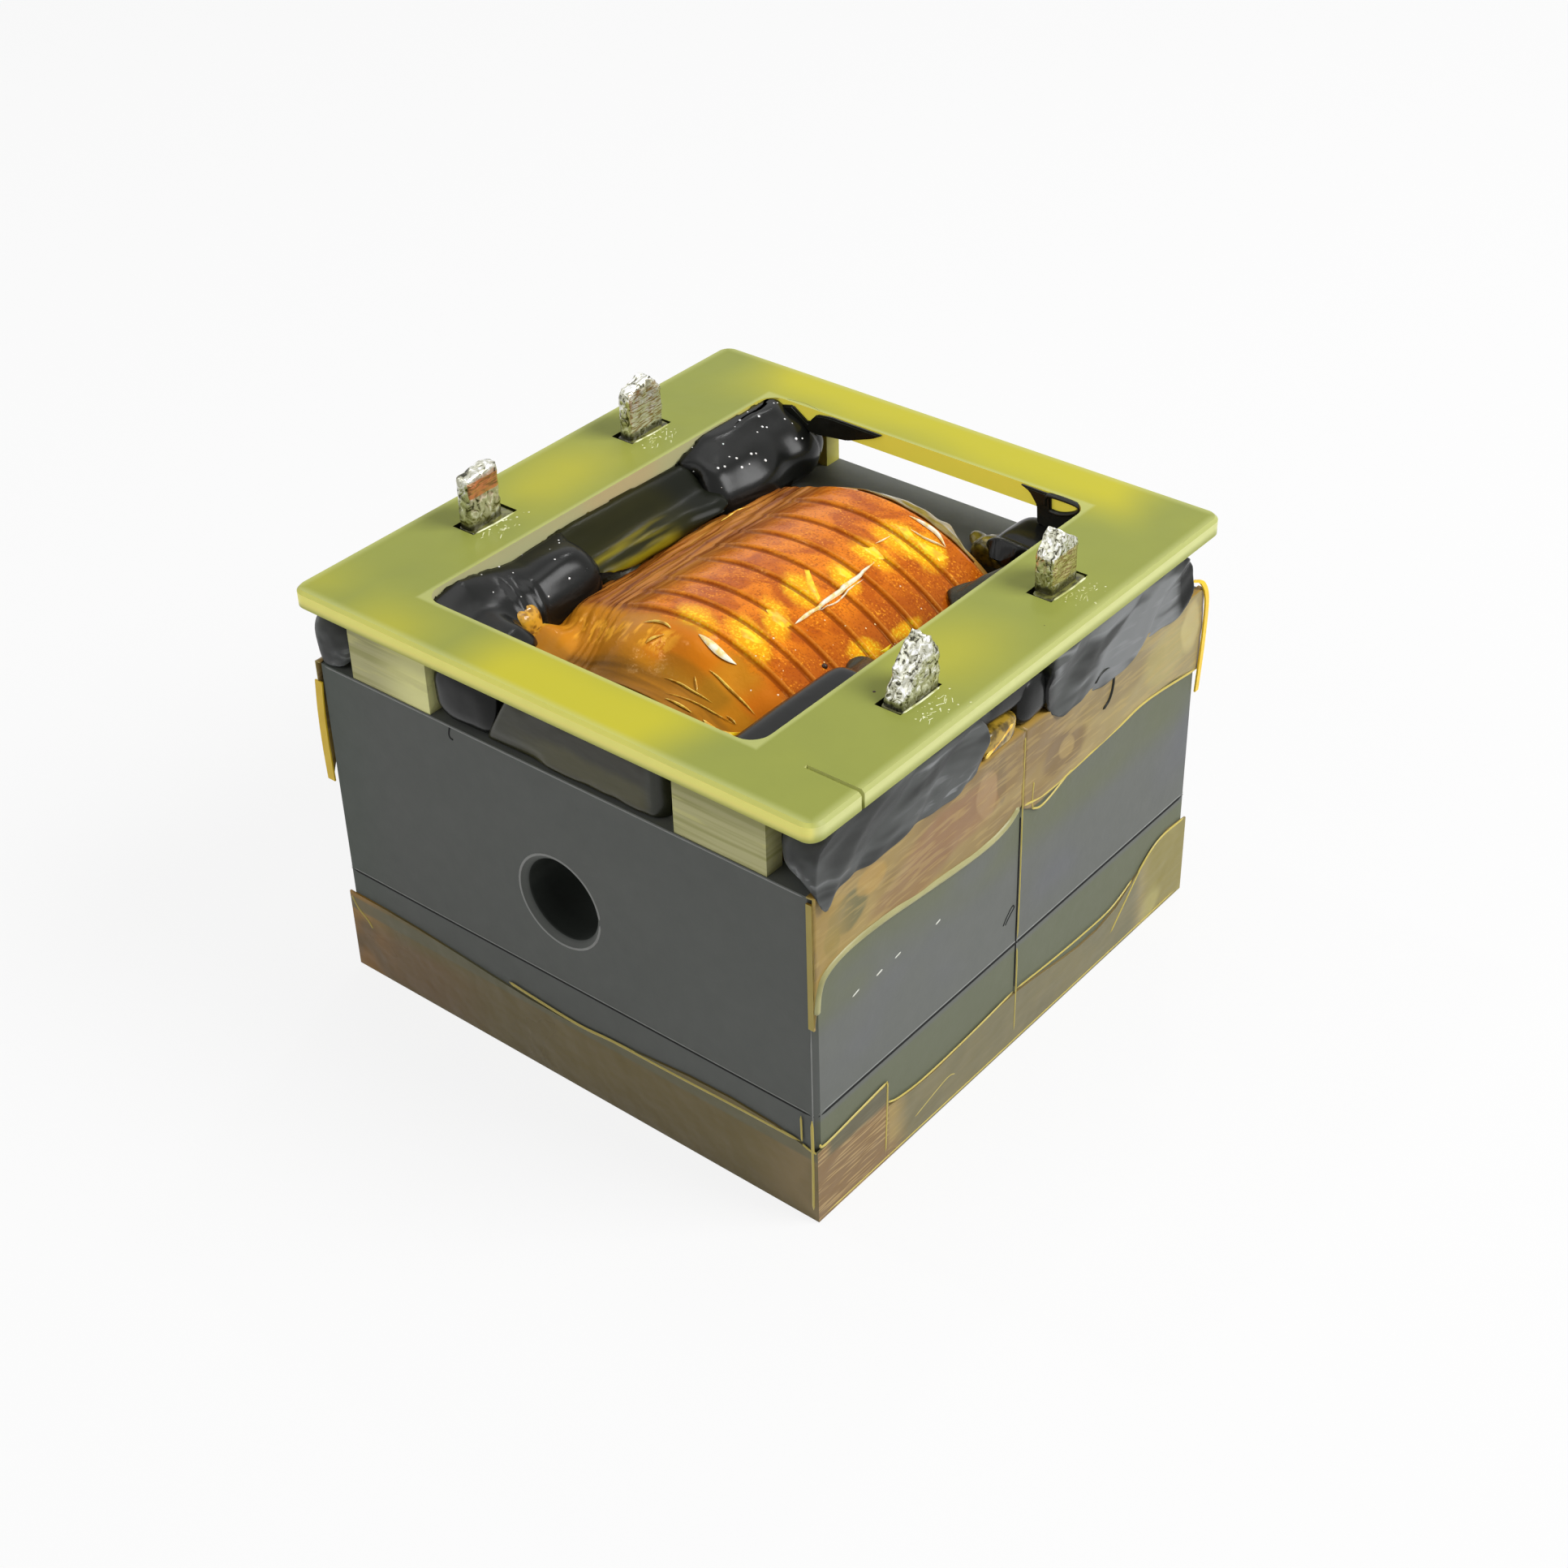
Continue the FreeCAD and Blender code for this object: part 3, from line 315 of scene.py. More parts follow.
def lead_look():
    look = Look("tinned_lead", Roughness=0.4, Specular_IOR_Level=0.3)
    _, _, z = look.place
    strands = look.noise(0.5, 3.0, stretch=(2.4, 0.5, 2.4))
    bare = look.mix(strands.step(0.35, 0.65), "77654a", "b9b6a4")
    covered = look.mix(strands, "1d1c12", "37331a")
    look.paint(look.mix(z.step(41.8, 42.6), covered, bare))
    look.bump(strands, 0.08)
    return look.material


def plain_look(name, dim, bright, cloud, ripple, height, **settings):
    """Two close tones in clouds over a rippled surface; cloud and ripple are noise settings."""
    look = Look(name, **settings)
    look.paint(look.mix(look.noise(*cloud), dim, bright))
    look.bump(look.noise(*ripple), height)
    return look.material


def barrier_look():
    look = Look("barrier_film", Roughness=0.3, Specular_IOR_Level=0.35)
    x, _, z = look.place
    height = z + look.noise(5.0, 2.0) * 1.6
    tone = look.mix(height.within(37.6, 39.0, 1.2), "24220c", "45421c")
    tone = look.mix(x.step(10.6, 12.0), tone, "2a2c1f")
    tone = look.mix(x.step(2.0, -6.0), tone, "2a2a14")
    look.paint(tone)
    look.bump(look.noise(1.4, 2.0, stretch=(0.4, 1, 1)), 0.05)
    return look.material


BAND_SPOTS = (
    # y, z, half length, half height, softness, strength, colour on the right side's bands
    (-10.5, 31.6, 7.5, 2.6, 0.45, 0.85, "94714f"),
    (-16.5, 29.3, 5.5, 1.8, 0.5, 0.7, "8b6a48"),
    (-5.6, 32.2, 1.5, 2.4, 0.25, 0.7, "a98b62"),
    (-3.4, 32.6, 0.7, 2.8, 0.3, 0.6, "7e6a48"),
    (-25.0, 31.8, 2.6, 1.9, 0.25, 0.9, "6f6b47"),
    (-27.3, 30.0, 1.0, 1.6, 0.3, 0.8, "74703f"),
    (-22.0, 33.2, 2.0, 1.4, 0.3, 0.6, "b8944e"),
    (6.5, 30.2, 3.6, 2.0, 0.35, 0.75, "7d6747"),
    (6.8, 30.4, 1.2, 1.1, 0.3, 0.8, "a58d5b"),
    (15.0, 32.6, 7.0, 1.8, 0.5, 0.45, "7c6a4c"),
    (23.5, 31.5, 4.0, 2.8, 0.5, 0.5, "b5a866"),
    (27.5, 32.5, 1.6, 2.6, 0.4, 0.5, "d0c283"),
)


def tape_look():
    """Amber adhesive film on the ferrite: brown where it clings, yellow where it lifts."""
    look = Look("polyimide_tape", Roughness=0.3, Specular_IOR_Level=0.2)
    x, y, z = look.place
    cloud = look.noise(9.0, 2.0, stretch=(1.0, 0.6, 1.2), distortion=0.4)
    lines = look.noise(0.5, 1.0, stretch=(0.3, 0.16, 1.5), turn=(0.5, 0, 0))
    side = look.mix(cloud.step(0.4, 0.62), "8a724a", "a38c55")
    side = look.mix(y.step(2.0, 24.0) * 0.75, side, "a0946a")
    wobble = (look.noise(3.0, 2.0) - 0.5) * 1.1
    for along, up, half_length, half_height, soft, strength, tint in BAND_SPOTS:
        across = (abs(y - along) / half_length) ** 2.0
        rise = (abs(z - up) / half_height) ** 2.0
        spot = (across + rise + wobble).step(1.0 + soft, 1.0 - soft)
        side = look.mix(spot * strength, side, tint)
    side = look.mix(lines.step(0.5, 0.66) * 0.34, side, "bfa566")
    corner = y.step(-23.5, -27.5) * look.noise(4.0, 1.0).step(0.38, 0.5)
    side = look.mix(corner * 0.6, side, "a88c47")
    foot = z.step(12.0, 11.0)
    thin = foot * y.within(-16.2, 20.0, 3.0)
    side = look.mix(thin * 0.8, side, look.mix(look.noise(5.0, 2.0), "5d6150", "7c7654"))
    rear_foot = foot * y.step(21.0, 24.0)
    ring = look.noise(3.4, 0.0, stretch=(1, 0.6, 1)).step(0.45, 0.6)
    side = look.mix(rear_foot * 0.85, side, look.mix(ring, "8c8240", "a9a05f"))
    grain = look.noise(0.35, 1.0, stretch=(0.2, 0.1, 1.6), turn=(0.95, 0, 0))
    flap = foot * y.step(-19.4, -19.9)
    side = look.mix(flap, side, look.mix(grain.step(0.5, 0.66), "876b44", "b09463"))
    dark_top = flap * z.step(6.4, 7.2) * y.step(-28.8, -27.5)
    side = look.mix(dark_top * 0.85, side, "595a45")
    top = look.mix(cloud, "9a7a38", "b6923e")
    end = look.mix(look.noise(9.0, 2.0), "6f6138", "7b6c40")
    # Painted light: an amber glow towards the left of the end faces.
    glow = x.step(-22.0, -28.4) * look.noise(5.0, 1.0).step(0.36, 0.56)
    end = look.mix(glow * 0.85, end, "b0843c")
    fade = x.step(20.0, 28.0) * cloud.step(0.4, 0.6)
    end = look.mix(fade * 0.7, end, "947f58")
    rust = x.step(-8.0, -20.0) * z.within(1.0, 5.0, 2.0)
    end = look.mix(rust * 0.4, end, "865c38")
    thin_top = z.within(7.3, 8.4, 0.4)
    end = look.mix(thin_top * 0.75, end, "6d6c53")
    upright = z.step(20.0, 21.0)
    end = look.mix(upright, end, "b8a558")
    result = look.mix(abs(look.facing[0]).step(0.4, 0.7), end, side)
    look.paint(look.mix(look.facing[2].step(0.6, 0.8) * upright, result, top))
    look.rough(cloud, 0.2, 0.42)
    look.bump(look.noise(3.6, 2.0, stretch=(1.0, 0.6, 1.2)), 0.2)
    return look.material


def sleeve_look():
    """Black heat-shrink tube: glossy where it is tight; outside the window painted grey as a sheen, with lighter
    painted highlights along the creases.
    """
    look = Look("sleeve", Specular_IOR_Level=0.2)
    x, y, _ = look.place
    outside = abs(x).step(20.5, 24.0)
    black = look.mix(look.noise(3.0, 2.0), "0b0c0b", "161715")
    creases = look.noise(2.6, 2.0, stretch=(0.6, 0.22, 0.9), turn=(0.55, 0, 0), distortion=0.5)
    # Painted sheen: the tube is grey outside the window and black inside it.
    painted_sheen = look.mix(creases.step(0.38, 0.6), "3b3c3b", "595b5a")
    fine = look.noise(0.8, 2.0, stretch=(0.6, 0.14, 0.9), turn=(0.55, 0, 0), distortion=0.4)
    # Painted highlights: lighter streaks on the crease ridges, more of them towards the rear.
    ridge = creases.step(0.52, 0.62) * fine.step(0.5, 0.62)
    painted_sheen = look.mix(ridge * 0.7, painted_sheen, "949697")
    rear = y.step(8.0, 12.0) * y.step(25.0, 23.0) * creases.step(0.4, 0.56)
    painted_sheen = look.mix(rear * 0.75, painted_sheen, "87898a")
    near_gap = x.step(24.0, 26.0) * y.within(-4.4, 3.2, 1.4)
    near_gap = look.most(near_gap, y.step(24.0, 25.0))
    painted_sheen = look.mix(near_gap, painted_sheen, "171817")
    look.paint(look.mix(outside, black, painted_sheen))
    look.rough(outside * (1.0 - near_gap), 0.24, 0.5)
    look.bump(look.noise(2.2, 2.0), 0.03)
    return look.material


def wrap_look():
    look = Look("olive_film", Roughness=0.26, Specular_IOR_Level=0.08)
    x, y, _ = look.place
    cloud = look.noise(3.0, 2.0, stretch=(1, 0.35, 1))
    tone = look.mix(cloud, "1b1c0a", "2e2d11")
    # Painted shade: darker towards the rear.
    tone = look.mix(y.step(3.5, 7.5), tone, "181a12")
    # Painted highlight: a yellow streak beside the winding.
    streak = x.step(-15.9, -14.5) * y.within(-8.0, 1.0, 3.0) * 0.85
    streak = streak * look.noise(1.3, 2.0, stretch=(1, 0.12, 1)).step(0.34, 0.62)
    look.paint(look.mix(streak, tone, "8f8218"))
    look.bump(look.noise(1.6, 2.0, stretch=(1, 0.3, 1)), 0.04)
    return look.material


# Painted highlights: broad yellow patches on the film where light shows through it.
PAINTED_GLOWS = (
    # degrees from the top to the right, place along the coil, half width, half length, slope
    (13.0, -0.3, 6.0, 1.6, -0.1),
    (17.0, 4.2, 5.5, 1.4, -0.1),
    (16.0, -5.2, 6.0, 1.5, -0.2),
    (16.0, -8.9, 8.0, 1.6, -0.1),
    (16.0, 9.0, 7.0, 1.3, 0.0),
    (17.0, 12.9, 7.5, 1.9, 0.0),
    (25.0, 13.9, 5.5, 1.8, -0.1),
    (2.0, -10.2, 7.0, 1.5, -0.1),
    (36.5, -0.6, 3.5, 1.6, 0.1),
    (38.0, 5.0, 2.0, 2.0, 0.1),
)


GROOVES = (-10.7, -7.7, -4.8, -0.6, 2.6, 5.8, 9.5, 13.2)


def film_look():
    """Clear amber film drawn over stranded copper, which glitters through it in painted glints; with painted
    highlights in broad yellow patches and painted shade in the grooves and hollows.
    """
    look = Look("winding_film", Specular_IOR_Level=0.18, Specular_Tint=(1.0, 0.6, 0.16, 1.0))
    x, y, z = look.place
    above = z - AXIS
    turn = look.sum("ARCTAN2", x, above) * (180 / math.pi)
    cloud = look.noise(3.6, 3.0, distortion=0.9)
    copper = look.mix(cloud.step(0.36, 0.64), "bd5a06", "ea8212")
    copper = look.mix(turn.step(22.0, 33.0) * 0.85, copper, "b0540f")
    # Painted glints: bright specks where the copper glitters through, and darker grain between them.
    glitter = look.noise(0.24, 2.0)
    bright = look.noise(2.6, 2.0).step(0.4, 0.62)
    copper = look.mix(glitter.step(0.56, 0.7) * bright * 0.8, copper, "ffa928")
    copper = look.mix(glitter.step(0.46, 0.34) * 0.5, copper, "8e3904")
    # Painted highlights in broad yellow patches.
    for centre, along, half_width, half_length, slope in PAINTED_GLOWS:
        across = turn - centre
        down = y - along - across * slope
        near = (abs(across) / half_width) ** 2.0 + (abs(down) / half_length) ** 2.0
        glow = (near + look.noise(1.1, 3.0) * 1.4).step(2.5, 0.7)
        copper = look.mix(glow * 0.95, copper, look.mix(glitter.step(0.5, 0.62), "ffae0c", "ffdf2e"))
    # Painted shade in each groove, and a painted highlight on the lap's edge just behind it.
    for groove in GROOVES:
        shade = y.within(groove - 0.16, groove + 0.06, 0.16)
        copper = look.mix(shade * 0.75, copper, "7c3203")
        rim = y.within(groove + 0.3, groove + 0.36, 0.14)
        copper = look.mix(rim * 0.35, copper, "f0a040")
    left = turn.step(-8.0, -24.0)
    streaks = look.noise(0.9, 3.0, stretch=(1.6, 0.12, 1.6), turn=(0, 0, 0.1))
    fold = look.mix(streaks.step(0.36, 0.62), "8d4b18", "b9762f")
    # Painted shade in the hollows between the folds on the left.
    deep = streaks.step(0.43, 0.33) * turn.step(-20.0, -30.0)
    fold = look.mix(deep * 0.6, fold, "5a2d0c")
    fold = look.mix(streaks.step(0.62, 0.7) * turn.step(-27.0, -32.0) * 0.6, fold, "dba04a")
    tone = look.mix(left, copper, fold)
    nose_place = y + (cloud - 0.5) * 2.0
    nose = nose_place.step(-10.6, -11.8)
    amber = look.mix(look.noise(2.6, 3.0, stretch=(1, 0.5, 1)), "b67318", "dc9024")
    orange = turn.within(-2.0, 14.0, 5.0)
    amber = look.mix(orange * y.within(-14.6, -12.4, 1.4) * 0.7, amber, "d87614")
    # Painted glints: gold threads across the nose.
    gold = turn.within(-30.0, -2.0, 8.0) * y.within(-14.4, -13.0, 0.8)
    painted_glint_lines = look.noise(1.0, 3.0, stretch=(1.5, 0.22, 1.5), turn=(0, 0, 0.5)).step(0.46, 0.62)
    amber = look.mix(gold * painted_glint_lines * 0.9, amber, "ffb636")
    amber = look.mix(turn.step(24.0, 31.0) * y.step(-14.8, -13.8), amber, "cf7218")
    # Painted shade in a hollow of the nose.
    hollow = turn.within(4.0, 24.0, 4.0) * y.within(-16.3, -14.7, 0.7)
    amber = look.mix(hollow * 0.5, amber, "80601a")
    tone = look.mix(nose, tone, amber)
    bands = look.noise(1.0, 2.0, stretch=(0.08, 1.1, 0.08), turn=(0, 0, -0.06))
    front = y.step(-15.9, -16.7) * turn.step(-38.0, -24.0)
    tone = look.mix(front, tone, look.mix(bands.step(0.3, 0.7), "8a5a1a", "b67822"))
    # Painted shade: darker at the bottom of the nose's front end, near the board.
    green = y.step(-15.0, -17.8) * turn.step(8.0, -10.0)
    tone = look.mix(green * 0.4, tone, "3d2c10")
    lump = turn.within(-44.0, -37.5, 2.0) * y.within(-17.6, -15.4, 0.8)
    tone = look.mix(lump, tone, look.mix(look.noise(0.8, 2.0).step(0.4, 0.6), "a86f10", "ffd04a"))
    look.paint(tone)
    look.rough(look.noise(1.0, 2.0), 0.1, 0.26)
    fine = look.noise(0.3, 2.0) * 0.25 + look.noise(1.4, 3.0)
    look.bump(fine, 0.06)
    return look.material


def solder_look(name, grain, warm, panel):
    """Lumpy tin over strands, with painted white highlights on the facets, painted shade in the creases, and flux
    left in the hollows.
    """
    look = Look(name, Metallic=0.65, Specular_IOR_Level=0.5)
    _, _, z = look.place
    facets = look.noise(grain, 2.0, distortion=1.2)
    tone = look.mix(facets.step(0.34, 0.56), "9c9a7c", "d2d2c4")
    # Painted highlights: white on the brightest facets; painted shade: dark in the creases.
    tone = look.mix(facets.step(0.55, 0.64), tone, "ffffff")
    tone = look.mix(facets.step(0.43, 0.36) * 0.9, tone, "22211a")
    strands = look.noise(0.22, 1.0, stretch=(1, 0.2, 1), turn=(0.2, 0, 0))
    tone = look.mix(strands.step(0.52, 0.64) * 0.3, tone, "f2f0df")
    low = (z + facets * 2.0).step(47.0, 45.0)
    tone = look.mix(low * warm, tone, "8f8b4e")
    foot = z.step(44.6, 44.0)
    tone = look.mix(foot * 0.7, tone, "4b491f")
    if panel:
        low_z, high_z, tint = panel
        face = look.facing[0].step(0.5, 0.8) * z.within(low_z, high_z, 0.08)
        hatch = look.noise(0.14, 1.0, stretch=(1, 0.12, 1), turn=(0.25, 0, 0))
        tone = look.mix(face, tone, look.mix(hatch.step(0.35, 0.6), "9a8258", tint))
    look.paint(tone)
    look.rough(facets, 0.1, 0.32)
    look.bump(facets, 0.1)
    return look.material


def gleam_look(name, dim, bright):
    look = Look(name, Roughness=0.12, Specular_IOR_Level=0.4)
    look.paint(look.mix(look.noise(0.9, 2.0).step(0.35, 0.6), dim, bright))
    return look.material


def dark_look(name, dim, bright, rough=0.3):
    return plain_look(name, dim, bright, (0.8,), (0.7,), 0.05, Roughness=rough, Specular_IOR_Level=0.25)


def tape_edge_look(name, dim, bright, cloud, ripple, height, rough):
    return plain_look(name, dim, bright, cloud, ripple, height, Roughness=rough, Specular_IOR_Level=0.3)


STRANDS = (0.5, 2.0, (2.0, 0.4, 2.0))
BOARD = board_look()
FERRITE = ferrite_look()
SPACER = spacer_look()
COPPER = plain_look(
    "winding_copper", "8a4a16", "c9762a", STRANDS, STRANDS, 0.08, Metallic=0.55, Roughness=0.35
)
LEAD = lead_look()
PLAIN_TAPE = tape_edge_look("film_tape", "a5712f", "c99a45", (2.2,), (0.8,), 0.05, 0.3)
FORMER = plain_look("former_plastic", "1d1e1d", "2b2c2a", (1.0,), (0.4, 2.0), 0.02, Roughness=0.5)
BARRIER = barrier_look()
TAPE = tape_look()
YELLOW_EDGE = tape_edge_look("rolled_tape_edge", "bfae55", "d6c368", (3.0, 2.0), (0.6, 2.0), 0.03, 0.3)
BRIGHT_EDGE = tape_edge_look("lifted_tape", "f0c52c", "ffd93a", (2.0, 2.0), (0.8, 2.0), 0.03, 0.35)
PALE_EDGE = tape_edge_look(
    "pale_rolled_tape", "8f8c5a", "bcb884", (2.2, 2.0, (1, 0.4, 1)), (0.9, 2.0), 0.04, 0.32
)
SLEEVE = sleeve_look()
WRAP = wrap_look()
FILM = film_look()
GLEAM = gleam_look("film_gleam", "f7d87a", "fffbe0")
AMBER_GLEAM = gleam_look("amber_gleam", "d99a25", "ffd95a")
GLINT_SPECK = gleam_look("bright_speck", "e9e9e4", "ffffff")
FLUX = gleam_look("flux_bead", "b9bc72", "eef0c8")
FLUX_DARK = gleam_look("flux_in_slot", "3c3b1c", "77773c")
SHARD = gleam_look("bright_shard", "ffb412", "ffe01a")
BLACK = dark_look("flat_black", "161815", "2a2c24")
SEAM_DARK = dark_look("seam_shadow", "0c0d0c", "161716", 0.7)
# Painted highlights: the light lines beside the seams and on the ferrite's edges.
SEAM_LIGHT = dark_look("seam_highlight", "8a8b88", "9b9c99", 0.5)
SCRATCH = dark_look("pale_scratch", "d2d2c8", "e6e6de", 0.5)

LOOK_OF_NODES = {
    # the first words of the nodes' names
    "core": FERRITE,
    "pin_board": BOARD,
    "coil_former": FORMER,
    "inner_winding": COPPER,
    "outer_winding": COPPER,
    "interlayer_tape": PLAIN_TAPE,
    "margin_tape": PLAIN_TAPE,
    "base_wrap": TAPE,
    "barrier_film": BARRIER,
    "lead_left": LEAD,
    "lead_right": LEAD,
    "spacer": SPACER,
    "band": TAPE,
}
for name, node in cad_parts.items():
    for start, material in LOOK_OF_NODES.items():
        if name.startswith(start):
            node.data.materials.clear()
            node.data.materials.append(material)


# Mesh helpers.
def add_piece(name, mesh, material):
    mesh.materials.append(material)
    piece = bpy.data.objects.new(name, mesh)
    bpy.context.scene.collection.objects.link(piece)
    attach(piece, "root")
    return piece


def new_piece(name, points, faces, material, rounded=True):
    mesh = bpy.data.meshes.new(name)
    mesh.from_pydata([[c * MM for c in point] for point in points], [], faces)
    mesh.polygons.foreach_set("use_smooth", [rounded] * len(mesh.polygons))
    mesh.update()
    return add_piece(name, mesh, material)


def grid_faces(rows, columns, start=0, closed=False):
    faces = []
    last = columns if closed else columns - 1
    for row in range(rows - 1):
        for column in range(last):
            near = start + row * columns
            across = (column + 1) % columns
            faces.append((near + column, near + across, near + columns + across, near + columns + column))
    return faces


def sheet_faces(rows, columns):
    """Both sides and the rim of a thin sheet; the second side's points follow the first's."""
    count = rows * columns
    faces = grid_faces(rows, columns)
    faces += [face[::-1] for face in grid_faces(rows, columns, count)]
    rim = list(range(columns)) + [row * columns + columns - 1 for row in range(1, rows)]
    rim += [count - columns + c for c in range(columns - 2, -1, -1)]
    rim += [row * columns for row in range(rows - 2, 0, -1)]
    return faces + [(here, here + count, there + count, there) for here, there in zip(rim, rim[1:] + rim[:1])]


BEAD_PROFILE = ((-1.0, 0.0), (-0.7, 0.65), (0.0, 1.0), (0.7, 0.65), (1.0, 0.0))
SUNK = 0.04


def add_bead(points, faces, path, width, height, out, tapered=False):
    """A low rounded ridge along a path on a surface that faces `out`; `tapered` points its ends."""
    start = len(points)
    path = [Vector(place) for place in path]
    last = len(path) - 1
    for n, place in enumerate(path):
        ahead = path[min(n + 1, last)] - path[max(n - 1, 0)]
        side = ahead.cross(out).normalized()
        share = min(1.0, n + 0.15, last - n + 0.15)
        if tapered:
            share = math.sin(math.pi * (n + 0.1) / (last + 0.2)) ** 0.8
        for across, up in BEAD_PROFILE:
            points.append(place + side * across * width / 2 * share + out * (up * height * share - SUNK))
    columns = len(BEAD_PROFILE)
    faces += grid_faces(last + 1, columns, start)
    faces.append(tuple(start + c for c in range(columns - 1, -1, -1)))
    faces.append(tuple(start + last * columns + c for c in range(columns)))


def beads(name, strokes, material, tapered=False):
    """A piece made of several ridges, each (path, width, height, out)."""
    points = []
    faces = []
    for path, width, height, out in strokes:
        add_bead(points, faces, path, width, height, out, tapered)
    return new_piece(name, points, faces, material)


def curve_through(stops, count):
    """A smooth line through the stops, with `count` steps between each two."""
    stops = [Vector(stop) for stop in stops]
    padded = [2 * stops[0] - stops[1], *stops, 2 * stops[-1] - stops[-2]]
    line = []
    for n in range(1, len(padded) - 2):
        a, b, c, d = padded[n - 1 : n + 3]
        for step in range(count):
            t = step / count
            cubic = (3 * b - a - 3 * c + d) * t * t * t
            line.append(0.5 * (2 * b + (c - a) * t + (2 * a - 5 * b + 4 * c - d) * t * t + cubic))
    line.append(stops[-1])
    return line


def dome(points, faces, centre, out, radius, height, sides=10):
    """A small rounded drop on a surface."""
    start = len(points)
    across = out.orthogonal().normalized()
    down = out.cross(across)
    for share, up in ((1.0, 0.0), (0.85, 0.5), (0.5, 0.86)):
        for n in range(sides):
            turn = 2 * math.pi * n / sides
            spoke = across * math.cos(turn) + down * math.sin(turn)
            points.append(centre + spoke * radius * share + out * (height * up - SUNK))
    points.append(centre + out * (height - SUNK))
    faces += grid_faces(3, sides, start, closed=True)
    tip = start + 3 * sides
    faces += [(start + 2 * sides + n, start + 2 * sides + (n + 1) % sides, tip) for n in range(sides)]
    faces.append(tuple(start + n for n in range(sides - 1, -1, -1)))


def skin_of(node, name, voxel, shape, material, rounds=6):
    """A finely remeshed copy of a CAD node's form, moved point by point by `shape`."""
    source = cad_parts[node]
    rough = bpy.data.objects.new(name + "_rough", source.data.copy())
    bpy.context.scene.collection.objects.link(rough)
    remesh = rough.modifiers.new("remesh", "REMESH")
    remesh.mode = "VOXEL"
    remesh.voxel_size = voxel * MM
    rounding = rough.modifiers.new("rounding", "SMOOTH")
    rounding.factor = 0.5
    rounding.iterations = rounds
    graph = bpy.context.evaluated_depsgraph_get()
    mesh = bpy.data.meshes.new_from_object(rough.evaluated_get(graph))
    bpy.data.objects.remove(rough)
    points = [vertex.co / MM for vertex in mesh.vertices]
    normals = [vertex.normal.copy() for vertex in mesh.vertices]
    faces = [tuple(polygon.vertices) for polygon in mesh.polygons]
    moved = [shape(point, normal) for point, normal in zip(points, normals)]
    piece = new_piece(name, moved, faces, material)
    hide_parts(node)
    return piece


def surface_of(piece):
    vertices = [vertex.co / MM for vertex in piece.data.vertices]
    return BVHTree.FromPolygons(vertices, [tuple(p.vertices) for p in piece.data.polygons])


# The film over the winding.
FILM_FRONT = -18.9
FILM_REAR = 18.4
FILM_RADIUS = 20.15
LAP = 0.32
NOSE_RADIUS = 17.4
INNER_RADIUS = 16.2
FILM_ROWS = 218
FINE_TURN = (-58.0, 48.0)
FINE_STEP = 0.45
COARSE_STEP = 6.0


def film_radius(along, angle):
    """How far the film is from the coil's axis; the angle is in degrees from the top, to the right."""
    radius = FILM_RADIUS
    for near, far in zip(GROOVES, GROOVES[1:] + (FILM_REAR + 0.6,)):
        if near <= along < far:
            share = (along - near) / (far - near)
            lap = LAP * (1 - share) * smooth(along, near, near + 0.35)
            radius += lap * (1 - 0.85 * smooth(-angle, 14, 27))
    nose = smooth(-along, 9.6, 19.4)
    radius += (NOSE_RADIUS - FILM_RADIUS) * nose
    radius -= 1.0 * smooth(along, 16.6, 18.6)
    wave = noise.noise(Vector((angle * 0.05, along * 0.2, 4.0)))
    radius += 0.7 * wave * smooth(-along, 9.5, 13.0)
    fold = smooth(angle, -20, -40) * (1 - smooth(angle, -46.5, -53))
    radius += 1.45 * fold * (1 - 0.35 * smooth(along, 6, 16))
    crease = noise.noise(Vector((angle * 0.42 + along * 0.1, along * 0.13, 2.0)))
    fine = noise.noise(Vector((angle * 0.95, along * 0.2, 7.0)))
    radius += (0.26 * crease + 0.12 * fine) * smooth(angle, -16, -30) * (1 - smooth(angle, -48, -55))
    lump = smooth(angle, -29, -38) * (1 - smooth(angle, -44, -52))
    lump *= smooth(-along, 13.2, 16.2)
    radius += 2.4 * lump
    lens = math.exp(-(((angle - 9) / 8.5) ** 2) - ((along + 13.0) / 1.7) ** 2)
    return radius + 0.75 * lens


def round_coil(radius, along, angle):
    """A place that far from the coil's axis, at an angle in degrees from the top, to the right."""
    turn = math.radians(angle)
    return Vector((radius * math.sin(turn), along, AXIS + radius * math.cos(turn)))


def outward(point):
    return Vector((point.x, 0, point.z - AXIS)).normalized()


def film_point(along, angle):
    return round_coil(film_radius(along, angle), along, angle)


def turns(low, high, step):
    return [low + step * n for n in range(math.ceil((high - low) / step))]


angles = turns(*FINE_TURN, FINE_STEP) + turns(FINE_TURN[1], FINE_TURN[0] + 360, COARSE_STEP)
points = []
for row in range(FILM_ROWS):
    along = FILM_FRONT + (FILM_REAR - FILM_FRONT) * row / (FILM_ROWS - 1)
    points += [film_point(along, angle if angle < 180 else angle - 360) for angle in angles]
columns = len(angles)
faces = grid_faces(FILM_ROWS, columns, closed=True)
# Both ends are closed down to the coil's inner radius.
for row, along, front in ((0, FILM_FRONT + 0.35, True), (FILM_ROWS - 1, FILM_REAR - 0.25, False)):
    start = len(points)
    for column in range(columns):
        inner = UP * AXIS + outward(points[row * columns + column]) * INNER_RADIUS
        points.append(Vector((inner.x, along, inner.z)))
    for column in range(columns):
        across = (column + 1) % columns
        quad = (row * columns + column, start + column, start + across, row * columns + across)
        faces.append(quad if front else quad[::-1])
film = new_piece("winding_film_skin", points, faces, FILM)
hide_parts("winding_jacket")


def on_film(along, angle, lift=0.0):
    point = film_point(along, angle)
    return point + outward(point) * lift


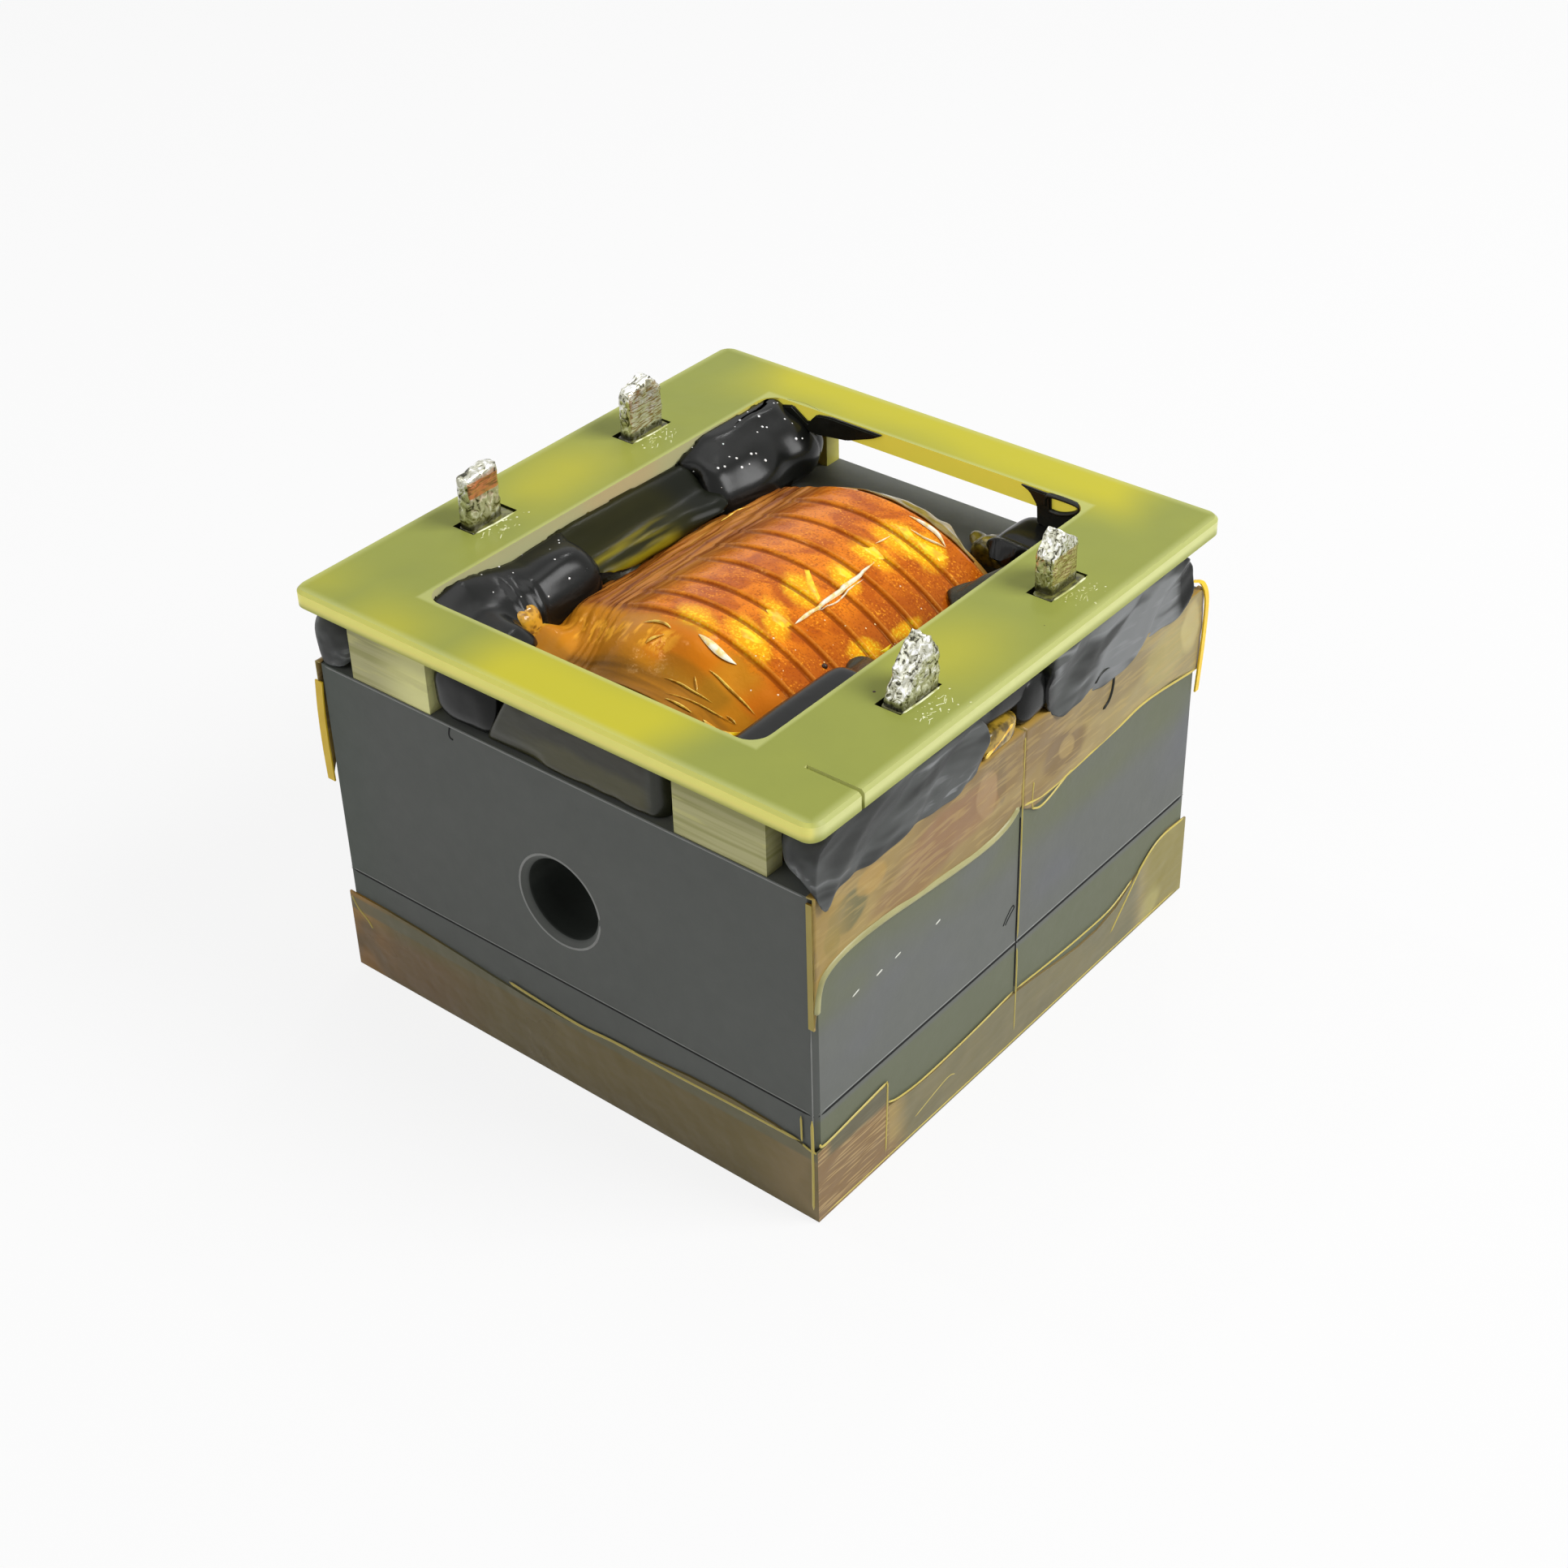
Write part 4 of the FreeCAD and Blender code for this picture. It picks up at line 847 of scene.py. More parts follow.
def film_strokes(rows):
    """Raised ridges on the film, coloured as painted highlights: width, height, then stops (place along the coil,
    angle).
    """
    strokes = []
    for width, height, *stops in rows:
        line = curve_through([(along, angle, 0) for along, angle in stops], 10)
        path = [on_film(stop.x, stop.y, 0.12) for stop in line]
        strokes.append((path, width, height, outward(path[len(path) // 2])))
    return strokes


# Painted highlights: pale ridges for the film's bright streaks and lens highlights.
GLEAMS = (
    (0.42, 0.25, (-4.5, 20.5), (-2.6, 20.1), (-0.8, 19.8)),
    (0.52, 0.34, (-3.4, 20.2), (0.4, 20.0), (4.6, 19.4), (8.2, 18.5)),
    (0.16, 0.2, (-1.2, 20.6), (0.8, 21.9), (3.2, 21.0), (5.8, 20.6)),
    (0.5, 0.25, (16.2, 12.6), (16.4, 17.5), (16.4, 22.0), (15.8, 26.3)),
    (0.16, 0.2, (14.6, 16.6), (14.7, 20.7), (15.3, 24.5), (15.7, 26.5)),
    (0.95, 0.26, (-11.9, 6.6), (-12.1, 11.0), (-12.15, 15.2), (-11.9, 19.6)),
    (0.14, 0.15, (10.2, 14.2), (11.2, 14.5), (12.4, 14.5)),
)
beads("film_gleams", film_strokes(GLEAMS), GLEAM, tapered=True)
# Painted glints: golden ridges along the film's crinkles.
CREASE_GLINTS = (
    (0.3, 0.2, (-14.6, -4.8), (-14.0, -4.1), (-13.2, -1.6)),
    (0.24, 0.2, (-14.0, 15.6), (-13.9, 18.8), (-13.9, 22.5), (-13.9, 28.0), (-14.0, 33.0)),
    (0.17, 0.18, (-16.5, 6.3), (-16.3, 12.1), (-16.2, 17.0), (-15.8, 22.8)),
    (0.14, 0.14, (-15.7, 27.9), (-15.6, 29.9), (-15.6, 31.7)),
    (0.1, 0.14, (-17.7, 10.7), (-17.0, 18.0), (-16.3, 25.2), (-15.7, 31.2)),
    (0.2, 0.15, (-15.1, 13.9), (-15.6, 16.0), (-16.0, 17.5)),
    (0.4, 0.2, (-18.3, 20.0), (-17.9, 25.0), (-17.5, 30.0), (-17.2, 35.0)),
    (0.5, 0.22, (-17.4, 24.5), (-17.3, 28.0), (-17.0, 31.0)),
    (0.45, 0.22, (-16.9, 30.0), (-16.6, 33.0), (-16.5, 37.0)),
    (0.25, 0.18, (-18.2, 12.0), (-17.9, 17.0), (-17.7, 21.0)),
    (0.3, 0.2, (-12.6, -10.5), (-12.2, -7.0), (-12.2, -3.5), (-12.5, -1.0)),
    (0.16, 0.14, (11.9, -33.0), (9.4, -33.6), (7.3, -32.5)),
)
beads("film_crease_glints", film_strokes(CREASE_GLINTS), AMBER_GLEAM, tapered=True)

# Painted light: bright yellow shards where the film is pressed flat against the bright copper.
SHARDS = (
    ((2.5, 7.7), (2.7, 8.9), (1.2, 14.3), (0.2, 18.3), (-0.3, 18.7), (0.5, 13.4)),
    ((5.2, 11.4), (5.4, 13.4), (5.1, 18.3), (4.4, 18.0), (4.2, 15.5)),
    ((-4.7, 11.5), (-4.5, 14.2), (-4.6, 20.0), (-5.5, 19.1), (-5.5, 15.6)),
    ((-8.6, 11.6), (-8.1, 13.9), (-8.3, 19.8), (-9.0, 18.6), (-9.4, 15.0)),
    ((9.0, 11.5), (9.8, 14.4), (9.6, 19.5), (9.0, 17.7), (8.8, 14.9)),
    ((13.9, 11.7), (14.6, 15.9), (14.0, 20.1), (13.3, 18.4), (13.6, 15.0)),
    ((12.6, 13.2), (13.0, 17.3), (12.3, 23.2), (12.1, 20.4), (12.3, 16.7)),
    ((13.8, 20.0), (14.4, 22.8), (15.1, 29.3), (13.8, 28.8), (13.4, 24.4)),
    ((-1.0, 38.2), (-0.7, 40.2), (-1.7, 39.4), (-2.6, 38.0)),
    ((1.4, 40.3), (2.6, 39.0), (0.6, 38.9)),
    ((-16.3, 32.4), (-15.6, 34.5), (-16.2, 33.9), (-17.2, 31.0), (-17.0, 29.4)),
)
SHARD_STEPS = 6
points = []
faces = []
for corners in SHARDS:
    pairs = zip(corners, corners[1:] + corners[:1])
    if sum(b * c - a * d for (a, b), (c, d) in pairs) < 0:
        corners = corners[::-1]
    centre = (sum(a for a, _ in corners) / len(corners), sum(b for _, b in corners) / len(corners))
    start = len(points)
    count = len(corners) * SHARD_STEPS
    for ring, lift in ((1.0, 0.0), (0.82, 0.07), (0.4, 0.1)):
        for n, (along, angle) in enumerate(corners):
            next_along, next_angle = corners[(n + 1) % len(corners)]
            for step in range(SHARD_STEPS):
                share = step / SHARD_STEPS
                at = (along + (next_along - along) * share, angle + (next_angle - angle) * share)
                spot = [c + (a - c) * ring for a, c in zip(at, centre)]
                points.append(on_film(spot[0], spot[1], lift - 0.01))
    points.append(on_film(centre[0], centre[1], 0.1))
    faces += grid_faces(3, count, start, closed=True)
    inner = start + 2 * count
    faces += [(inner + n, inner + (n + 1) % count, start + 3 * count) for n in range(count)]
new_piece("film_shards", points, faces, SHARD)

# A lip of clear film stands off the rear end of the coil.
LIP_ROWS = 12
LIP_COLUMNS = 40
LIP_TURN = (-8, 34)
LIP_START = 17.6
LIP_REACH = 2.6
points = []
for side in (0, 1):
    for row in range(LIP_ROWS):
        share = row / (LIP_ROWS - 1)
        for column in range(LIP_COLUMNS):
            angle = LIP_TURN[0] + (LIP_TURN[1] - LIP_TURN[0]) * column / (LIP_COLUMNS - 1)
            reach = LIP_REACH * math.sin(math.pi * column / (LIP_COLUMNS - 1)) ** 0.6
            reach *= 1 + 0.3 * noise.noise(Vector((angle * 0.16, 0, 1)))
            radius = 20.0 - 0.3 * share - 0.9 * share * share - side * 0.15
            radius += 0.3 * noise.noise(Vector((angle * 0.12, share * 2, 5)))
            points.append(round_coil(radius, LIP_START + reach * share, angle))
LIP = gleam_look("clear_film_lip", "7d6c33", "927e3f")
new_piece("film_lip_rear", points, sheet_faces(LIP_ROWS, LIP_COLUMNS), LIP)


# The sleeves, and the film round the leads between the left ones.
def rumple(point, grain, depth, seed=0.0):
    return depth * noise.noise(Vector((point.x / grain, point.y / grain, point.z / grain + seed)))


# How high the dark sleeves and film stand against the window's left wall, place along to height.
WALL_TOPS = (
    (-24.3, 42.2), (-23.7, 43.0), (-20.4, 43.5), (-17.5, 42.9), (-13.3, 42.2), (-5.5, 42.6),
    (1.3, 42.4), (9.5, 42.1), (14.0, 43.0), (18.2, 43.5), (22.7, 43.6), (24.3, 43.3),
)
WALL_CLEAR = 0.05
OUTERMOST = 29.85


def in_window(point):
    return abs(point.x) < WINDOW_SIDE - WALL_CLEAR and abs(point.y) < WINDOW_END - WALL_CLEAR


def against_wall(point, normal, reach):
    """Raises the top of a left piece where it leans on the window's wall."""
    moved = point.copy()
    if in_window(point) and normal.z > 0.05 and point.x < 0:
        lean = smooth(-point.x, WINDOW_SIDE - reach, WINDOW_SIDE - 0.2)
        moved.z += (along_line(point.y, WALL_TOPS) - point.z) * lean * smooth(normal.z, 0.05, 0.5)
    return moved


def below_board(moved, top=43.6):
    limit = top if in_window(moved) else BOARD_LOW - WALL_CLEAR
    moved.z = min(moved.z, limit)
    return moved


def under_sight(moved):
    """Keeps the inner ends on the right below the coil's flank, as seen over it."""
    if 10.0 < moved.x < WINDOW_SIDE and -6.6 < moved.y < 19.0:
        moved.z = min(moved.z, 38.2 + max(0.0, moved.x - 13.2) * 0.9)
    return moved


def outer_left(moved):
    """The outer faces hang smoothly down to the ferrite's top."""
    outer = smooth(-moved.x, 26.5, 28.6)
    if moved.z < 38.2:
        moved.z -= 0.75 * outer * smooth(moved.z, 38.0, 36.4)
    moved.x = max(moved.x, -OUTERMOST)
    return moved


def left_front_shape(point, normal):
    moved = point + normal * (0.25 + rumple(point, 4.0, 0.25))
    if in_window(point):
        ring = max(0.0, math.sin((point.y + 0.3 * point.x + 3.2) * 3.0)) ** 2
        ring *= smooth(point.y, -14.4, -15.2) * smooth(point.y, -18.6, -17.6)
        bulb = math.exp(-(((point.x + 16.6) / 3.0) ** 2) - ((point.y + 10.2) / 3.4) ** 2)
        moved += normal * (0.3 * ring + 0.9 * bulb)
    moved = against_wall(moved, normal, 4.4)
    front = smooth(-point.y, 26.0, 28.0) * smooth(-point.x, 22.5, 24.6)
    moved.y -= 0.45 * front
    moved.z -= 1.3 * front * smooth(moved.z, 38.6, 36.6) * smooth(-point.y, 27.4, 29.0)
    moved.y = max(moved.y, -29.68)
    return below_board(outer_left(moved))


def left_rear_shape(point, normal):
    moved = against_wall(point + normal * (0.25 + rumple(point, 5.0, 0.6, 5)), normal, 5.2)
    swell = math.exp(-(((point.y - 14.5) / 5.5) ** 2)) + 0.7 * math.exp(-(((point.y - 22.5) / 2.2) ** 2))
    if in_window(point):
        moved.z += 0.7 * swell * max(0.0, normal.z)
        moved.x += 1.2 * swell * max(0.0, normal.x)
        moved.y -= 2.2 * smooth(-point.y, -6.5, -3.0)
    return below_board(outer_left(moved))


def outer_shape(point, normal, edge):
    """The outer legs hang like cloth from the board's edge, in slanting folds, down to `edge`."""
    moved = point + normal * (0.2 + rumple(point, 5.0, 0.15, 9))
    side = smooth(point.x, 25.6, 27.8) * smooth(normal.x, -0.15, 0.35)
    slant = 0.72 * point.y - 1.3 * point.z + 1.6 * noise.noise(point * 0.16)
    fold = math.sin(slant) + 0.4 * math.sin(2.3 * slant + 1.0)
    moved.x += (29.38 + 0.2 * fold - moved.x) * side
    moved.z -= (36.0 - edge) * side * smooth(point.z, 38.8, 36.6)
    moved.x = min(OUTERMOST, moved.x)
    return below_board(moved, 42.0)


def right_front_shape(point, normal):
    moved = outer_shape(point, normal, 35.4)
    tip = smooth(-point.y, 26.4, 28.6) * smooth(point.x, 24.8, 27.6) * smooth(point.z, 40.0, 36.4)
    moved.y -= 0.5 * tip
    moved.z -= 2.7 * tip * smooth(point.x, 26.8, 28.6)
    moved.y = max(moved.y, -29.9)
    return moved


# The rear right sleeve's lower edge, place along to height.
REAR_HEM = ((2.6, 34.9), (7.7, 34.7), (12.0, 34.3), (15.1, 34.4), (19.6, 35.5), (26.9, 35.6))


def right_rear_shape(point, normal):
    moved = under_sight(outer_shape(point, normal, along_line(point.y, REAR_HEM)))
    if moved.x < WINDOW_SIDE and moved.y >= 19.0:
        sink = smooth(moved.y, 19.0, 20.5) * smooth(moved.x, WINDOW_SIDE, 17.5)
        moved.z -= 1.6 * sink * smooth(moved.z, 36.2, 41.0)
    return moved


def wrap_shape(point, normal):
    moved = point + normal * rumple(point, 3.6, 0.2, 2)
    moved.y = 1.15 + (moved.y - 1.15) * 1.42
    moved.x += 1.5 * smooth(point.x, -17.0, -14.6) * smooth(point.z, 37.0, 39.5)
    moved.x += 0.9 * smooth(moved.y, 4.5, 8.5) * smooth(point.x, -17.5, -15.0)
    moved = against_wall(moved, normal, 4.4)
    return below_board(moved)


SLEEVE_VOXEL = 0.36
SLEEVE_ROUNDS = 26
SLEEVE_SHAPES = {
    "left_front": left_front_shape,
    "left_rear": left_rear_shape,
    "right_front": right_front_shape,
    "right_rear": right_rear_shape,
}
sleeves = {
    place: skin_of(f"sleeve_{place}", f"sleeve_skin_{place}", SLEEVE_VOXEL, shape, SLEEVE, SLEEVE_ROUNDS)
    for place, shape in SLEEVE_SHAPES.items()
}
skin_of("lead_wrap_left", "lead_wrap_skin", 0.3, wrap_shape, WRAP, 16)


BAG_CUTS = (48, 28)


def bag(name, centre, sizes, power, material, bend):
    """A rounded bag: a ball squared off by `power`, its surface gently uneven."""
    around, up = BAG_CUTS
    points = []
    for row in range(1, up):
        tilt = math.pi * (row / up - 0.5)
        for column in range(around):
            turn = 2 * math.pi * column / around
            unit = (math.cos(tilt) * math.cos(turn), math.cos(tilt) * math.sin(turn), math.sin(tilt))
            at = Vector([c + math.copysign(abs(u) ** power, u) * s for c, u, s in zip(centre, unit, sizes)])
            at += Vector(unit) * rumple(at, 1.8, bend)
            points.append(at)
    faces = grid_faces(up - 1, around, closed=True)
    for row, shift in ((0, -1), (up - 2, 1)):
        points.append(Vector(centre) + UP * shift * sizes[2])
        tip = len(points) - 1
        for column in range(around):
            pair = (row * around + column, row * around + (column + 1) % around)
            faces.append((tip, pair[1], pair[0]) if shift < 0 else (pair[0], pair[1], tip))
    return new_piece(name, points, faces, material)


# The front left sleeve's rounded tail, and the film that hangs behind the board's front edge.
bag("sleeve_tail_front", (-10.1, -27.35, 38.65), (4.15, 2.15, 2.95), 0.6, SLEEVE, 0.12)
# Low and high x, front and back y, low and high z of the hanging film as it is here; then the left
# edge, the front, the depth and the low and high z of the solid one.
FILM_LIMITS = (-6.6, 13.2, -29.35, -24.55, 35.72, 41.66)
SOLID_FILM = (-9.0, -26.95, 2.4, 35.7, 41.4)


def barrier_shape(point, normal):
    low_x, high_x, front, back, low, high = FILM_LIMITS
    solid_left, solid_front, depth, solid_low, solid_high = SOLID_FILM
    moved = point.copy()
    height = (point.z - low) / (high - low)
    belly = 0.35 * math.sin(math.pi * min(1.0, max(0.0, height)))
    share = min(1.0, max(0.0, (point.y - solid_front) / depth))
    sag = 0.3 * noise.noise(Vector((point.x * 0.3, 0, point.z * 0.4)))
    start = low_x - 1.2 + 3.6 * min(1.0, max(0.0, height))
    moved.x = high_x - (high_x - point.x) * (high_x - start) / (high_x - solid_left)
    moved.y = back + (front - back) * (1 - share) + (sag - belly) * (1 - share)
    rim = smooth(point.x, high_x - 1.6, high_x)
    moved.y += 1.2 * rim * (1 - share)
    moved.z = low + (point.z - solid_low) / (solid_high - solid_low) * (high - low)
    moved.y = max(moved.y, front)
    return moved


skin_of("barrier_film", "barrier_skin", 0.3, barrier_shape, BARRIER)


def scatter(name, target, area, count, sizes, material, seed):
    """Small bright domes as painted glints, dropped on a surface from above, inside (low x, high x, low y, high y).
    """
    draw = random.Random(seed)
    tree = surface_of(target)
    points = []
    faces = []
    for _ in range(count):
        x = draw.uniform(area[0], area[1])
        y = draw.uniform(area[2], area[3])
        radius = draw.uniform(*sizes)
        hit, normal, _, _ = tree.ray_cast(Vector((x, y, 60)), Vector((0, 0, -1)))
        if hit and normal.z > 0.2:
            dome(points, faces, hit, normal, radius, radius * 0.6)
    return new_piece(name, points, faces, material)


# Painted glints: bright domes on the left sleeves and on the film.
scatter("glint_specks_left_rear", sleeves["left_rear"], (-19, -13.2, 9, 23.8), 34, (0.05, 0.17), GLINT_SPECK, 3)
scatter("glint_specks_left_front", sleeves["left_front"], (-19, -13.6, -22, -7.4), 22, (0.04, 0.14), GLINT_SPECK, 5)
scatter("glints_on_film", film, (6, 15.5, -13, 9), 60, (0.04, 0.12), GLEAM, 8)


# Solder over the four ends of the leads.
TABS = {
    # low and high x, low and high y; heights at the front edge, the peak and the rear edge, and
    # the peak's place; warmth, grain, lean and lumps; a side panel's low, high and tint
    "left_front": (-25.5, -23.85, -13.5, -9.4, 48.8, 49.3, 49.1, 0.5, 0.5, 0.9, 0.0, 0.1, (46.9, 48.4, "e9a877")),
    "left_rear": (-25.4, -23.8, 8.6, 13.4, 48.5, 49.5, 47.8, 0.3, 0.2, 0.7, 0.0, 0.16, (44.4, 48.6, "dcdcd0")),
    "right_front": (23.7, 25.9, -13.5, -8.2, 46.6, 49.4, 47.3, 0.2, 0.1, 0.6, 0.55, 0.22, None),
    "right_rear": (23.4, 25.45, 9.0, 13.1, 47.2, 49.45, 47.6, -0.2, 0.75, 0.55, 0.0, 0.15, (44.6, 47.2, "cfc98e")),
}
TAB_CUTS = 18
TAB_FOOT = 42.0
TAB_HIGHEST = 49.55
LEAD_TOP = 46.0
PINCH = 0.45


def lead_shape(centre_x, centre_y):
    def shape(point, normal):
        pinch = PINCH * smooth(point.z, 41.4, 42.6)
        moved = point.copy()
        moved.x += (centre_x - point.x) * pinch
        moved.y += (centre_y - point.y) * pinch
        moved.z = min(moved.z, LEAD_TOP)
        return under_sight(moved)

    return shape


for place, tab in TABS.items():
    low_x, high_x, low_y, high_y, front, peak, rear, peak_place, warm, grain, lean, lumps, panel = tab
    shape = lead_shape((low_x + high_x) / 2, (low_y + high_y) / 2)
    skin_of(f"lead_{place}", f"lead_skin_{place}", 0.3, shape, LEAD)
    block = bmesh.new()
    bmesh.ops.create_cube(block, size=2.0)
    bmesh.ops.subdivide_edges(block, edges=block.edges[:], cuts=TAB_CUTS, use_grid_fill=True)
    for vertex in block.verts:
        x, y, z = vertex.co
        # Rounds the upright corners and the crown.
        corner = max(0.0, abs(x) - 0.55) / 0.45 * max(0.0, abs(y) - 0.8) / 0.2
        x *= 1 - 0.12 * corner
        y *= 1 - 0.05 * corner
        crown = max(0.0, z - 0.8) / 0.2
        x *= 1 - 0.22 * crown * abs(x)
        top = along_line(y, ((-1.0, front), (peak_place, peak), (1.0, rear)))
        y += lean * max(0.0, z) * (1 - y) / 2
        at_x = low_x + (high_x - low_x) * (x + 1) / 2
        at_y = low_y + (high_y - low_y) * (y + 1) / 2
        at = Vector((at_x, at_y, TAB_FOOT + (top - TAB_FOOT) * (z + 1) / 2))
        above = smooth(at.z, BOARD_TOP, BOARD_TOP + 1.2)
        push = noise.noise_vector(at * 1.3) + 0.4 * noise.noise_vector(at * 3.1)
        at += push * lumps * (0.2 + 0.8 * above)
        at.z = min(at.z, TAB_HIGHEST)
        vertex.co = at * MM
    mesh = bpy.data.meshes.new(f"solder_{place}")
    block.to_mesh(mesh)
    block.free()
    mesh.polygons.foreach_set("use_smooth", [True] * len(mesh.polygons))
    add_piece(f"solder_{place}", mesh, solder_look(f"solder_{place}", grain, warm, panel))


# Flux thrown on the board beside each tab: drops, and a few thin trails.
def on_board_side(x):
    return WINDOW_SIDE + 0.4 < abs(x) < BOARD_SIDE - 0.4


draw = random.Random(11)
points = []
faces = []
for _, high_x, low_y, high_y, *_ in TABS.values():
    middle_y = (low_y + high_y) / 2
    for _ in range(40):
        x = high_x + 0.7 + abs(draw.gauss(0, 1.3))
        y = middle_y + draw.gauss(-0.2, 1.7)
        radius = draw.uniform(0.04, 0.15)
        if on_board_side(x):
            dome(points, faces, Vector((x, y, BOARD_TOP)), UP, radius, radius * 0.5, 8)
    for _ in range(12):
        x = high_x + draw.uniform(0.7, 2.6)
        y = middle_y + draw.uniform(-2.2, 2.0)
        length = draw.uniform(0.5, 1.5)
        lean = draw.uniform(-0.5, 0.9)
        trail = [Vector((x + lean * t * length, y - t * length, BOARD_TOP)) for t in (0, 0.33, 0.66, 1)]
        if on_board_side(trail[-1].x):
            add_bead(points, faces, trail, draw.uniform(0.06, 0.14), 0.06, UP)
new_piece("flux_splashes", points, faces, FLUX)

# A shallow collar of flux at the foot of each tab.
points = []
faces = []
for place, (low_x, _, low_y, *_) in TABS.items():
    side = 1 if low_x > 0 else -1
    centre_y = SLOT_Y if low_y > 0 else -SLOT_Y
    out_x = side * SLOT_X + 1.42
    ring = [(out_x - 0.1, centre_y - 2.6), (out_x + 0.05, centre_y), (out_x, centre_y + 2.5)]
    line = curve_through([(x, y, BOARD_TOP) for x, y in ring], 8)
    add_bead(points, faces, line, 0.26, 0.12, UP)
    fill = Vector((side * SLOT_X + 0.12, centre_y + 0.12, BOARD_TOP - 0.34))
    bag(f"flux_fill_{place}", fill, (1.17, 2.72, 0.26), 0.28, FLUX_DARK, 0.1)
new_piece("flux_collars", points, faces, FLUX)


# Seams between the ferrite blocks, and marks on their faces.
def straight(start, stop, count):
    start = Vector(start)
    stop = Vector(stop)
    return [start + (stop - start) * n / (count - 1) for n in range(count)]


SEAM_WIDTH = 0.26
SEAM_CUTS = 60
BORE_RIM = 4.85
# The light lines beside the seams, round the bore's rim, along the top front edge and down the front right corner
# are painted highlights.
dark = []
light = []
for out, a, b in (
    (FORWARD, (-28.6, -CORE_END, SEAM), (28.6, -CORE_END, SEAM)),
    (BACKWARD, (-28.6, CORE_END, SEAM), (28.6, CORE_END, SEAM)),
    (RIGHTWARD, (CORE_SIDE, -29.2, SEAM), (CORE_SIDE, 29.2, SEAM)),
    (LEFTWARD, (-CORE_SIDE, -29.2, SEAM), (-CORE_SIDE, 29.2, SEAM)),
    (RIGHTWARD, (CORE_SIDE, 0.0, 6.6), (CORE_SIDE, 0.0, 26.6)),
    (LEFTWARD, (-CORE_SIDE, 0.0, 6.6), (-CORE_SIDE, 0.0, 26.6)),
):
    width = SEAM_WIDTH * (1.4 if out is RIGHTWARD and a[1] < -1 else 1.0)
    dark.append((straight(a, b, SEAM_CUTS), width, 0.1, out))
    side = (Vector(b) - Vector(a)).normalized().cross(out)
    if side.z < 0 or side.y < 0:
        side = -side
    shift = side * width * 0.75
    light.append((straight(Vector(a) + shift, Vector(b) + shift, SEAM_CUTS), 0.14, 0.08, out))
circle = [n * math.pi / 24 for n in range(49)]
rim = [Vector((BORE_RIM * math.cos(t), -CORE_END, AXIS + BORE_RIM * math.sin(t))) for t in circle]
light.append((rim, 0.3, 0.08, FORWARD))
light.append((straight((-28.4, -CORE_END, 35.5), (28.4, -CORE_END, 35.5), SEAM_CUTS), 0.2, 0.08, FORWARD))
light.append((straight((28.45, -CORE_END, 9.5), (28.45, -CORE_END, 21.8), 8), 0.14, 0.06, FORWARD))
beads("seam_shadows", dark, SEAM_DARK)
beads("seam_edges", light, SEAM_LIGHT)

SCRATCHES = (
    # start y and z, stop y and z, points, width, height
    (-24.5, 22.1, -23.4, 22.4, 6, 0.2, 0.1),
    (-21.2, 22.2, -20.2, 22.4, 6, 0.22, 0.1),
    (-18.6, 22.4, -17.6, 22.6, 6, 0.18, 0.1),
    (-12.7, 22.3, -11.9, 22.5, 6, 0.2, 0.1),
    (-7.0, 23.2, -6.6, 23.7, 4, 0.07, 0.04),
)
scratches = [
    (straight((CORE_SIDE, y, z), (CORE_SIDE, far_y, far_z), count), width, height, RIGHTWARD)
    for y, z, far_y, far_z, count, width, height in SCRATCHES
]
beads("ferrite_scratches", scratches, SCRATCH)


def level_curve(axis, place, stops, count):
    """A curve on the plane where x (axis 0) or y (axis 1) is `place`, through the other two."""
    return curve_through([(place, a, z) if axis == 0 else (a, place, z) for a, z in stops], count)


SCRIBBLE = ((-2.2, 15.3), (-1.7, 16.0), (-0.8, 16.8), (-0.5, 16.5), (-1.2, 15.9), (-1.9, 15.2))
HOOK = ((-11.8, 35.5), (-12.0, 34.7), (-11.9, 34.3), (-11.5, 34.2))
marks = [
    (level_curve(0, CORE_SIDE, SCRIBBLE, 6), 0.2, 0.1, RIGHTWARD),
    (level_curve(1, -CORE_END, HOOK, 6), 0.24, 0.1, FORWARD),
]
beads("dark_marks", marks, SEAM_DARK)

# Edges of the tapes: thin yellow lines, wide pale rolled rims and bright lifted strips.
TAPE_SIDE = CORE_SIDE + 0.2
TAPE_END = CORE_END + 0.2


def tape_strokes(rows):
    """Lines on the tapes: the way the face looks, width, height, then stops (along, up)."""
    strokes = []
    for out, width, height, *stops in rows:
        axis, place = (1, -TAPE_END) if out is FORWARD else (0, out.x * TAPE_SIDE)
        strokes.append((level_curve(axis, place, stops, 8), width, height, out))
    return strokes


